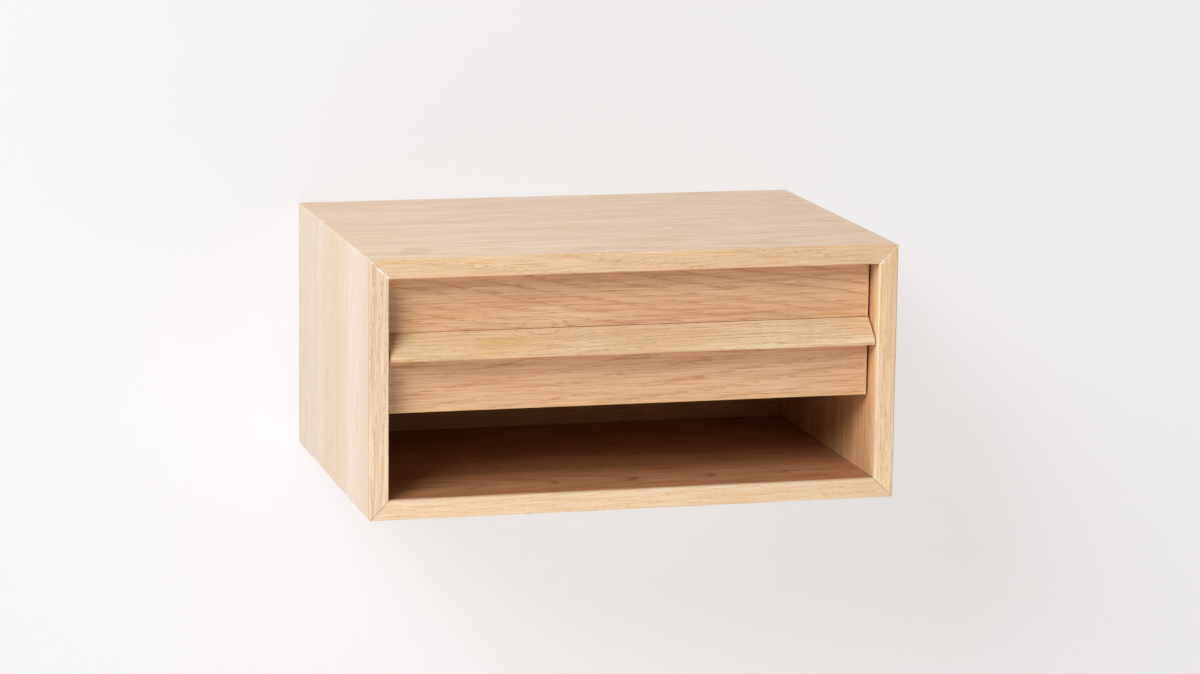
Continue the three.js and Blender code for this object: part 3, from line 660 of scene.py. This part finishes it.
# Geometry Nodes helpers
def newTree(name, inputs):
    tree = bpy.data.node_groups.new(name, "GeometryNodeTree")
    for label, kind in {"Geometry": "Geometry", **inputs}.items():
        tree.interface.new_socket(label, in_out="INPUT", socket_type="NodeSocket" + kind)
    tree.interface.new_socket("Geometry", in_out="OUTPUT", socket_type="NodeSocketGeometry")
    return tree, tree.nodes.new("NodeGroupInput").outputs


def endTree(tree, geometry, material, others=None):
    # every tree ends in whole geometry with its material, and others for the faces that are marked
    dressed = output("GeometryNodeRealizeInstances", {"Geometry": geometry})
    for marked, finish in {True: material, **(others or {})}.items():
        dressed = output("GeometryNodeSetMaterial", {
            "Geometry": dressed, "Selection": marked, "Material": finish})
    addNode("NodeGroupOutput", {"Geometry": dressed})
    return tree


def joined(*parts):
    return output("GeometryNodeJoinGeometry", {"Geometry": list(reversed(parts))})


def shapeOf(thing):
    return addNode("GeometryNodeObjectInfo", {"Object": thing}).outputs["Geometry"]


def boolean(operation, values):
    return output("GeometryNodeMeshBoolean", values, operation=operation, solver="EXACT")


def lifted(shape, height):
    return output("GeometryNodeTransform", {"Geometry": shape, "Translation": vectorOf(z=height)})


def grow(name, base, tree, values):
    # runs a tree on a base mesh and keeps the result as a plain piece, without the helping objects
    piece = addThing(base, name)
    modifier = piece.modifiers.new("grow", "NODES")
    modifier.node_group = tree
    for item in tree.interface.items_tree:
        if item.in_out == "INPUT" and item.name in values:
            modifier[item.identifier] = values[item.name]
    settle(piece)
    if piece.data.materials[0] is None:  # joining bare meshes leaves an empty first slot
        piece.data.materials.pop(index=0)
    smoothBends(piece)
    for value in values.values():
        if isinstance(value, bpy.types.Object):
            bpy.data.objects.remove(value)
    return piece


def meshOf(name, corners, faces=()):
    mesh = bpy.data.meshes.new(name)
    mesh.from_pydata(corners, [], faces)
    return mesh


def sectionOf(name, corners, ahead):
    # one face, which looks ahead along its run
    section = meshOf(name, corners, [tuple(range(len(corners)))])
    if section.polygons[0].normal.dot(ahead) < 0:
        section.flip_normals()
    return section


def drawAlong(section, run):
    # closes the solid that a section sweeps along a straight run
    drawn = output("GeometryNodeExtrudeMesh", {"Mesh": section, "Offset": run, "Individual": False})
    start = output("GeometryNodeFlipFaces", {"Mesh": section})
    return output("GeometryNodeMergeByDistance", {"Geometry": joined(drawn, start), "Distance": weldReach})


# A moulding is one section drawn along a straight run. Tongues are joined on and holes cut out.
def mouldingTree():
    tree, source = newTree("moulding", {
        "Run": "Vector", "Tongues": "Object", "Holes": "Object", "Material": "Material"})
    shell = drawAlong(source["Geometry"], source["Run"])
    whole = boolean("UNION", {"Mesh 2": [shapeOf(source["Tongues"]), shell]})
    drilled = boolean("DIFFERENCE", {"Mesh 1": whole, "Mesh 2": shapeOf(source["Holes"])})
    return endTree(tree, drilled, source["Material"])


moulding = mouldingTree()


def arcPoints(centre, radius, first, last, steps):
    angles = [radians(first + (last - first) * i / steps) for i in range(steps + 1)]
    return [(centre[0] + radius * cos(a), centre[1] + radius * sin(a)) for a in angles]


def bendPoints(start, bend, end, steps):
    # leaves the start and reaches the end along the lines through the bend
    shares = [i / steps for i in range(steps + 1)]
    return [tuple((1 - t) ** 2 * start[k] + 2 * t * (1 - t) * bend[k] + t * t * end[k] for k in (0, 1))
            for t in shares]


# Finger pull: slopes out from the crease, turns down round its nose, coved underneath
pull = dict(
    slopeFall=17.9 * mm, fall=23.4 * mm, noseRound=1 * mm, noseFlat=4 * mm, coveShare=0.35, root=16 * mm,
    joint=0.32 * mm,  # the fine line where the pull meets the panel above
    # the joint's groove is this deep, and its inside is painted with shade of this colour and strength, a
    # little past its edge
    jointDepth=0.6 * mm, grooveShadeColour="#B0622A", grooveShadeShow=0.85, markOverrun=0.1 * mm,
    tongueHeight=5 * mm, tongueThick=6 * mm, tongueBite=2 * mm, tongueInset=0.3 * mm,
    curveSteps=14, noseSteps=6,
)
pullOak = dict(
    grain="X", face="Y", shift=(0.25, 0.01, 0.0), tones=("#E4CFB1", "#D4B68F", "#C0986A", "#A87F52"),
    heart=(0.03, 0.02), lean=0.9, skew=0.8, ringGap=3 * mm, ringShow=0.6, poreShow=0.65,
    fibreShow=0.75, bandShow=1.0, wander=3.5 * mm, roughness=0.46, poreGrid=(120, 1600, 1600),
    swirl=(0.167, -0.036, 20 * mm, 11 * mm), cloud=((13, 46, 46), 0.4, "#E0C095"),
    patches=[(0.125, -0.034, 55 * mm, 10 * mm, 0.9, "#DAAC72"),
             (0.205, -0.03, 40 * mm, 7 * mm, 0.4, "#F2E0C2"),
             (0.42, -0.03, 160 * mm, 18 * mm, 0.7, "#ECDABA")],
)
pullLow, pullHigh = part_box("handle_rail")
panelLow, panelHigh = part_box("upper_front_panel")
crease = panelLow.z


def pullOutline():
    # points are (y, z), from the crease round the nose to the back
    face, nose = panelLow.y, pullLow.y
    rootBottom, underside = crease - pull["root"], crease - pull["fall"]
    slopeEnd, noseEnd = crease - pull["slopeFall"], underside + pull["noseRound"]
    reach = face - nose
    back = (slopeEnd - noseEnd) / hypot(reach, pull["slopeFall"])
    slopeTurn = (nose + back * reach, slopeEnd + back * pull["slopeFall"])
    landEnd = nose + pull["noseFlat"]
    coveBend = landEnd + pull["coveShare"] * (face - landEnd)
    return [
        (face + pull["jointDepth"], crease),
        (face + pull["jointDepth"], crease - pull["joint"]),
        (face, crease - pull["joint"]),
        *bendPoints(slopeTurn, (nose, slopeEnd), (nose, noseEnd), pull["curveSteps"]),
        *arcPoints((nose + pull["noseRound"], noseEnd), pull["noseRound"], 180, 270, pull["noseSteps"])[1:],
        *bendPoints((landEnd, underside), (coveBend, rootBottom), (face, rootBottom), pull["curveSteps"]),
        (panelHigh.y, rootBottom),
        (panelHigh.y, crease),
    ]


def creaseGrooveShade(tree, colour):
    # painted shade: the inside of the joint's groove under the crease is darkened, as shade in the narrow
    # groove
    inside = over(apart(objectPlace(tree))["Z"], crease - pull["joint"] - pull["markOverrun"])
    return tint(colour, pull["grooveShadeColour"], inside, pull["grooveShadeShow"])


def blocksMesh(name, blocks):
    corners, faces = [], []
    for low, high in blocks:
        first = len(corners)
        corners += product(*zip(low, high))
        faces += [[first + i for i in face] for face in (
            (0, 1, 3, 2), (4, 6, 7, 5), (0, 4, 5, 1), (2, 3, 7, 6), (0, 2, 6, 4), (1, 5, 7, 3))]
    return meshOf(name, corners, faces)


def makePull():
    section = sectionOf("pullSection", [(pullLow.x, y, z) for y, z in pullOutline()], axes["X"])
    reach, rootBottom = panelHigh.x - pull["tongueInset"], crease - pull["root"]
    front, rear = ((panelLow.y + panelHigh.y + side * pull["tongueThick"]) / 2 for side in (-1, 1))
    tongues = blocksMesh("pullTongues", [
        ((-reach, front, bottom), (reach, rear, top)) for bottom, top in (
            (crease - pull["tongueBite"], crease + pull["tongueHeight"]),
            (rootBottom - pull["tongueHeight"], rootBottom + pull["tongueBite"]))])
    piece = grow("finger_pull", section, moulding, {
        "Run": (pullHigh.x - pullLow.x, 0, 0), "Tongues": addThing(tongues),
        "Material": oakMaterial("pullOak", pullOak, creaseGrooveShade)})
    standFor(piece, "drawer", "oak_solid", "handle_rail")


makePull()
print("finger pull done")


# Drawer box in birch plywood: each board's thin axis, grain, plies and how far its edges are eased
boxBoards = dict(
    drawer_inner_front=("Y", "X", 9, easeWidths["box"]),
    drawer_back=("Y", "X", 9, easeWidths["box"]),
    drawer_left_side=("X", "Y", 9, easeWidths["box"]),
    drawer_right_side=("X", "Y", 9, easeWidths["box"]),
    drawer_bottom=("Z", "X", 5, 0),
)
shortestBoxEdge = 0.15
for i, (solid, (thin, grain, plies, ease)) in enumerate(boxBoards.items()):
    shift = (0.3 * i, 0.1 * i, 0.0)  # each board from another place in the veneer
    ply = plyMaterial(solid + "Ply", solid, thin, grain, shift, plies)
    easedCopy(solid, "drawer", "birch_ply", [ply], ease, longConvex(shortestBoxEdge))
print("drawer box done")


# Runners: sheet members with curled races, and strips that carry two rows of balls.
# A section is drawn as (out, up): out goes from the cabinet's side to the drawer.
runner = dict(
    width=12.7 * mm, length=250 * mm, sheet=1.2 * mm, bend=1.6 * mm,
    ballRadius=2 * mm, raceGap=0.25 * mm, ballsPerRow=7, ballMargin=7 * mm,
    outerBall=(8 * mm, 19.05 * mm), innerBall=(9 * mm, 13.35 * mm),
    retainerSheet=0.5 * mm, retainerLength=110 * mm,
    outerWeb=3.65 * mm, middleWeb=4.85 * mm, innerWeb=6.05 * mm,
    raceEnds=(25, 320, 230),  # degrees, for the cabinet's, the middle and the drawer's member
    screwInset=37 * mm, screwHole=2.2 * mm, accessHole=5 * mm, drillDepth=8 * mm,
    bendSteps=8, raceSteps=16, holeSteps=48, ballSteps=24,
)
zinc = steelMaterial("zincSteel", "#C9CDD2", "#AEB4BB", 0.26)
retainerSteel = steelMaterial("retainerSteel", "#9EA2A8", "#82878E", 0.34)
ballSteel = steelMaterial("ballSteel", "#DADDE0", "#C4C8CC", 0.12)


def sheetOutline(upperHalf, sheet):
    # mirrors the line of a sheet and gives it its thickness
    line = [Vector((out, -up)) for out, up in reversed(upperHalf)] + [Vector(point) for point in upperHalf]
    near, far = [], []
    for i, point in enumerate(line):
        into = (point - line[max(i - 1, 0)]).normalized()
        onward = (line[min(i + 1, len(line) - 1)] - point).normalized()
        run = (into + onward).normalized()
        reach = sheet / 2 / max(run.dot(into), run.dot(onward))
        near.append((point.x - run.y * reach, point.y + run.x * reach))
        far.append((point.x + run.y * reach, point.y - run.x * reach))
    return near + far[::-1]


def runnerSection(name, outline, side, start):
    corners = [(start.x - side * out, start.y, start.z + up) for out, up in outline]
    return sectionOf(name, corners, axes["Y"])


def holeCutter(name, places, radius):
    cutters = bmesh.new()
    for place in places:
        stand = Matrix.Translation(place) @ Matrix.Rotation(pi / 2, 4, "Y")
        bmesh.ops.create_cone(cutters, cap_ends=True, segments=runner["holeSteps"], radius1=radius,
                              radius2=radius, depth=runner["drillDepth"], matrix=stand)
    return addThing(meshFrom(name, cutters))


# A retainer is a bent strip whose two flanges carry a row of balls each
def retainerTree():
    tree, source = newTree("retainer", {
        "Run": "Vector", "Balls": "Object", "Ball Radius": "Float", "Ball Steps": "Int",
        "Strip Steel": "Material", "Ball Steel": "Material"})
    strip = drawAlong(source["Geometry"], source["Run"])
    rings = output("FunctionNodeIntegerMath", {0: source["Ball Steps"], 1: 2}, operation="DIVIDE")
    ball = output("GeometryNodeMeshUVSphere", {
        "Segments": source["Ball Steps"], "Rings": rings, "Radius": source["Ball Radius"]})
    marked = addNode("GeometryNodeCaptureAttribute", {"Geometry": ball}, domain="FACE")
    marked.capture_items.new("BOOLEAN", "Ball")
    marked.inputs["Ball"].default_value = True
    balls = output("GeometryNodeInstanceOnPoints", {
        "Points": shapeOf(source["Balls"]), "Instance": marked.outputs["Geometry"]})
    return endTree(tree, joined(strip, balls), source["Strip Steel"],
                   {marked.outputs["Ball"]: source["Ball Steel"]})


retainerMaker = retainerTree()


def turnIn(web, top, side=1):
    # the rounded corner from a web to a flange of this height
    bend = runner["bend"]
    return arcPoints((web + side * bend, top - bend), bend, 90 + side * 90, 90, runner["bendSteps"])


def memberSections():
    # each one turns in from its web and curls round one side of the balls
    half, steps = runner["sheet"] / 2, runner["raceSteps"]
    race = runner["ballRadius"] + runner["raceGap"] + half
    outer, inner, ends = runner["outerBall"], runner["innerBall"], runner["raceEnds"]
    return dict(
        cabinet_member=turnIn(half, outer[1] + race) + arcPoints(outer, race, 90, ends[0], steps),
        intermediate_member=(turnIn(runner["middleWeb"], outer[1] - race)
                             + arcPoints(outer, race, 270, ends[1], steps)),
        drawer_member=(turnIn(runner["width"] - half, inner[1] - race, -1)
                       + arcPoints(inner, race, 270, ends[2], steps)),
    )


def makeMember(key, name, side, start, body, out, holeRadius):
    outline = sheetOutline(memberSections()[name], runner["sheet"])
    spots = (runner["screwInset"], runner["length"] - runner["screwInset"])
    holes = holeCutter(name + "Holes", [start + Vector((-side * out, y, 0)) for y in spots], holeRadius)
    piece = grow(f"{key}_{name}_drawn", runnerSection(name + "Section", outline, side, start), moulding,
                 {"Run": (0, runner["length"], 0), "Holes": holes, "Material": zinc})
    standFor(piece, body, "zinc_steel", f"{key}_{name}")


def makeRetainer(key, row, side, start):
    name = row + "_ball_retainer"
    length, (ballPlace, ballUp) = runner["retainerLength"], runner[row + "Ball"]
    upperHalf = [*turnIn(runner[row + "Web"], ballUp), (ballPlace + runner["ballRadius"], ballUp)]
    front = (runner["length"] - length) / 2
    section = runnerSection(name + "Section", sheetOutline(upperHalf, runner["retainerSheet"]), side,
                          start + Vector((0, front, 0)))
    first = front + runner["ballMargin"]
    pitch = (length - 2 * runner["ballMargin"]) / (runner["ballsPerRow"] - 1)
    spots = [start + Vector((-side * ballPlace, first + i * pitch, up))
             for up in (ballUp, -ballUp) for i in range(runner["ballsPerRow"])]
    piece = grow(f"{key}_{name}_drawn", section, retainerMaker, {
        "Run": (0, length, 0), "Balls": addThing(meshOf(name + "Balls", spots)),
        "Ball Radius": runner["ballRadius"], "Ball Steps": runner["ballSteps"],
        "Strip Steel": retainerSteel, "Ball Steel": ballSteel})
    standFor(piece, f"{key}_{row}_balls", "retainer_steel", f"{key}_{name}")


def makeRunner(key):
    # starts at the middle of the runner's front end, at the cabinet's side
    low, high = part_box(key + "_cabinet_member")
    side = -1 if key == "left" else 1
    start = Vector((low.x if side < 0 else high.x, low.y, (low.z + high.z) / 2))
    half = runner["sheet"] / 2
    for name, body, out, hole in (
            ("cabinet_member", "carcass", half, "screwHole"),
            ("intermediate_member", key + "_intermediate", runner["middleWeb"], "accessHole"),
            ("drawer_member", "drawer", runner["width"] - half, "screwHole")):
        makeMember(key, name, side, start, body, out, runner[hole])
    for row in ("outer", "inner"):
        makeRetainer(key, row, side, start)


makeRunner("left")
makeRunner("right")
print("runners done")


# Screws: a turned blank gets its cross recess and stands on each seat. A head with a rise is
# domed and stands proud, and the others are sunk.
screwKinds = dict(  # length, shank, head, rise and recess in mm
    cleat=(40, 2.2, 4.2, 0, 2.1),
    bottom=(22, 1.7, 3.2, 0, 1.7),
    front=(24, 2, 4, 2.2, 2.1),
    runner=(11, 1.9, 3.6, 1.8, 1.8),
)
screwSets = (  # the screws' names and their ends, kind, body, and where they point
    ("cleat_screw", "1 2 3 4", "cleat", "carcass", (0, 1, 0)),
    ("bottom_screw", "1 2", "bottom", "drawer", (0, 0, 1)),
    ("front_screw", "1 2 3 4", "front", "drawer", (0, -1, 0)),
    ("left_cabinet_screw", "front rear", "runner", "carcass", (-1, 0, 0)),
    ("right_cabinet_screw", "front rear", "runner", "carcass", (1, 0, 0)),
    ("left_drawer_screw", "front rear", "runner", "drawer", (1, 0, 0)),
    ("right_drawer_screw", "front rear", "runner", "drawer", (-1, 0, 0)),
)
screw = dict(tip=4 * mm, sinkRim=0.4 * mm, turnSteps=24, domeSteps=7, recessSides=16, slotShare=0.34,
             depthShare=0.8)
screwSteel = steelMaterial("screwSteel", "#D2D0C6", "#B9B6AA", 0.3, "Z")


def screwTree():
    tree, source = newTree("screws", {
        "Blank": "Object", "Direction": "Vector", "Recess Width": "Float", "Recess Reach": "Float",
        "Recess Depth": "Float", "Recess Top": "Float", "Seed": "Int", "Material": "Material"})
    width, depth = source["Recess Width"], source["Recess Depth"]
    long, tall = times(source["Recess Reach"], 2.0), times(depth, 2.0)
    arms = [output("GeometryNodeMeshCube", {"Size": vectorOf(x, y, tall)})
            for x, y in ((long, width), (width, long))]
    taper = output("GeometryNodeMeshCone", {
        "Vertices": screw["recessSides"], "Radius Top": width, "Radius Bottom": long, "Depth": tall})
    cone = lifted(taper, times(depth, -1.0))
    recess = boolean("INTERSECT", {"Mesh 2": [boolean("UNION", {"Mesh 2": arms}), cone]})
    placed = lifted(recess, source["Recess Top"])
    headed = boolean("DIFFERENCE", {"Mesh 1": shapeOf(source["Blank"]), "Mesh 2": placed})
    fine = output("GeometryNodeTriangulate", {"Mesh": headed}, quad_method="BEAUTY", ngon_method="BEAUTY")
    point = output("FunctionNodeAlignRotationToVector", {"Vector": source["Direction"]}, axis="Z")
    twist = addNode("FunctionNodeRandomValue", {"Max": pi, "Seed": source["Seed"]}).outputs[1]
    spun = output("FunctionNodeAxisAngleToRotation", {"Axis": (0, 0, 1), "Angle": twist})
    turned = output("FunctionNodeRotateRotation", {"Rotation": point, "Rotate By": spun},
                    rotation_space="LOCAL")
    stood = output("GeometryNodeInstanceOnPoints", {
        "Points": source["Geometry"], "Instance": fine, "Rotation": turned})
    return endTree(tree, stood, source["Material"])


def screwProfile(length, shank, head, rise):
    # points are (radius, along), and along goes into the wood
    rim = screw["sinkRim"]
    end = [(shank, length - screw["tip"]), (0, length)]
    if rise:
        return [*bendPoints((0, -rise), (head, -rise), (head, 0), screw["domeSteps"]), (shank, 0), *end]
    return [(0, 0), (head, 0), (head, rim), (shank, rim + head - shank), *end]


def turnedBlank(name, profile):
    shell = bmesh.new()
    corners = [shell.verts.new((radius, 0, along)) for radius, along in profile]
    edges = [shell.edges.new(pair) for pair in zip(corners, corners[1:])]
    bmesh.ops.spin(shell, geom=corners + edges, cent=(0, 0, 0), axis=(0, 0, 1), angle=tau,
                   steps=screw["turnSteps"], use_duplicate=False)
    bmesh.ops.remove_doubles(shell, verts=shell.verts, dist=weldReach)
    bmesh.ops.recalc_face_normals(shell, faces=shell.faces)
    return addThing(meshFrom(name, shell))


def seatOf(solid, direction, rise):
    low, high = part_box(solid)
    half = abs((high - low).dot(direction)) / 2
    return (low + high) / 2 + direction * (rise - half)


screwMaker = screwTree()
for seed, (name, ends, kind, body, direction) in enumerate(screwSets):
    length, shank, head, rise, recess = (size * mm for size in screwKinds[kind])
    solids = [f"{name}_{end}" for end in ends.split()]
    seats = [seatOf(solid, Vector(direction), rise) for solid in solids]
    blank = turnedBlank(name + "Blank", screwProfile(length, shank, head, rise))
    piece = grow(name + "s", meshOf(name + "Seats", seats), screwMaker, {
        "Blank": blank, "Direction": direction, "Recess Reach": recess, "Recess Top": -rise,
        "Recess Width": recess * screw["slotShare"], "Recess Depth": recess * screw["depthShare"],
        "Seed": seed, "Material": screwSteel})
    standFor(piece, body, "zinc_steel", *solids)
print("screws done")


# Rubber stops
rubber = dict(grid=900, tones=("#6A6C6E", "#8A8C8E"), dustShow=0.5, roughness=0.65, roughShare=0.2,
              bump=0.3, bumpReach=0.05 * mm)


def rubberMaterial():
    material, tree = newMaterial("greyRubber")
    dust = noise(objectPlace(tree), rubber["grid"], 3.0)
    return finishMaterial(material, tint(*rubber["tones"], dust, rubber["dustShow"]),
                          plus(times(dust, rubber["roughShare"]), rubber["roughness"]), dust,
                          rubber["bump"], rubber["bumpReach"])


stopRubber = rubberMaterial()
for key in ("left", "right"):
    dress("rear_stop_" + key, stopRubber)


# Studio: a pale wall that only the camera sees, a pale floor and soft light from the upper left.
# A lift is how much of a surface's look is its glow, where it is seen directly.
studio = dict(
    wallBehind=1 * mm, wallSize=(7.0, 5.0), wallColour="#F4F6FE", wallGlow="#F0EDEB", wallLift=0.67,
    floorDrop=0.62, floorSize=9.0, floorColour="#F1EEEC", floorGlow="#F1EEEC", floorLift=0.5,
    skySeen="#F2F0EE", skyLight="#FBEAD8", ambient=0.06,
)
lamps = dict(  # size, distance, azimuth, elevation, level, colour
    keyLight=(2.4, 5.0, 44, 33, 0.95, "#FFFFFF"),
    topLight=(2.4, 2.6, 65, 68, 0.45, "#FFFEFC"),
    bounceLight=(0.8, 0.8, 5, -46, 0.385, "#FFEFE2"),
    backLight=(1.6, 2.6, 180, 0, 0.5, "#FFFFFF"),
    sideLight=(1.4, 2.6, -118, 8, 0.42, "#FFFFFF"),
)


def seenDirectly(tree):
    rays = tree.nodes.new("ShaderNodeLightPath").outputs
    seen = plus(rays["Is Camera Ray"], rays["Is Glossy Ray"], clamp=True)
    return plus(seen, rays["Is Transmission Ray"], clamp=True)


def mixedShader(factor, a, b):
    return output("ShaderNodeMixShader", {0: factor, 1: a, 2: b})


def addStage(key, corners, cameraOnly):
    # from behind, the camera looks through it
    material, tree = newMaterial("pale" + key.capitalize())
    fromCamera = tree.nodes.new("ShaderNodeLightPath").outputs["Is Camera Ray"]
    behind = tree.nodes.new("ShaderNodeNewGeometry").outputs["Backfacing"]
    lit = output("ShaderNodeBsdfDiffuse", {"Color": studio[key + "Colour"]}, tree)
    glow = output("ShaderNodeEmission", {"Color": studio[key + "Glow"]}, tree)
    surface = mixedShader(times(seenDirectly(tree), studio[key + "Lift"]), lit, glow)
    if cameraOnly:
        shown = times(fromCamera, minus(1.0, behind))
    else:
        shown = minus(1.0, times(fromCamera, behind))
    clear = tree.nodes.new("ShaderNodeBsdfTransparent").outputs[0]
    addNode("ShaderNodeOutputMaterial", {"Surface": mixedShader(shown, clear, surface)})
    mesh = meshOf(key, corners, [(0, 1, 2, 3)])
    mesh.materials.append(material)
    addThing(mesh)


def addLamp(name, centre, size, distance, azimuth, elevation, level, colour):
    turn, lift = radians(azimuth), radians(elevation)
    away = Vector((-sin(turn) * cos(lift), -cos(turn) * cos(lift), sin(lift)))
    data = bpy.data.lights.new(name, "AREA")
    data.shape = "SQUARE"
    data.size = size
    data.color = paint(colour)[:3]
    data.energy = level * pi ** 2 * distance ** 2
    lamp = addThing(data)
    facing = away.to_track_quat("Z", "Y").to_matrix().to_4x4()
    lamp.matrix_world = Matrix.Translation(centre + away * distance) @ facing
    lamp.visible_camera = False
    lamp.visible_glossy = abs(azimuth) < 90  # the lamps behind it don't mirror in the gloss


def makeStudio():
    low, high = cadBounds
    bottom = low.z - studio["floorDrop"]
    half, top = studio["wallSize"][0] / 2, bottom + studio["wallSize"][1]
    far, wall = studio["floorSize"] / 2, studio["wallBehind"]
    addStage("wall", [(half * x, wall, z) for x, z in ((-1, bottom), (1, bottom), (1, top), (-1, top))], True)
    addStage("floor", [(far * x, far * y, bottom) for x, y in ((-1, -1), (1, -1), (1, 1), (-1, 1))], False)
    for name, lamp in lamps.items():
        addLamp(name, (low + high) / 2, *lamp)
    scene.world = bpy.data.worlds.new("studioWorld")
    scene.world.use_nodes = True
    tree = scene.world.node_tree
    tree.nodes.clear()
    light = output("ShaderNodeBackground", {"Color": studio["skyLight"], "Strength": studio["ambient"]}, tree)
    seen = output("ShaderNodeBackground", {"Color": studio["skySeen"]}, tree)
    sky = mixedShader(seenDirectly(tree), light, seen)
    addNode("ShaderNodeOutputWorld", {"Surface": sky})


makeStudio()
print("studio done")
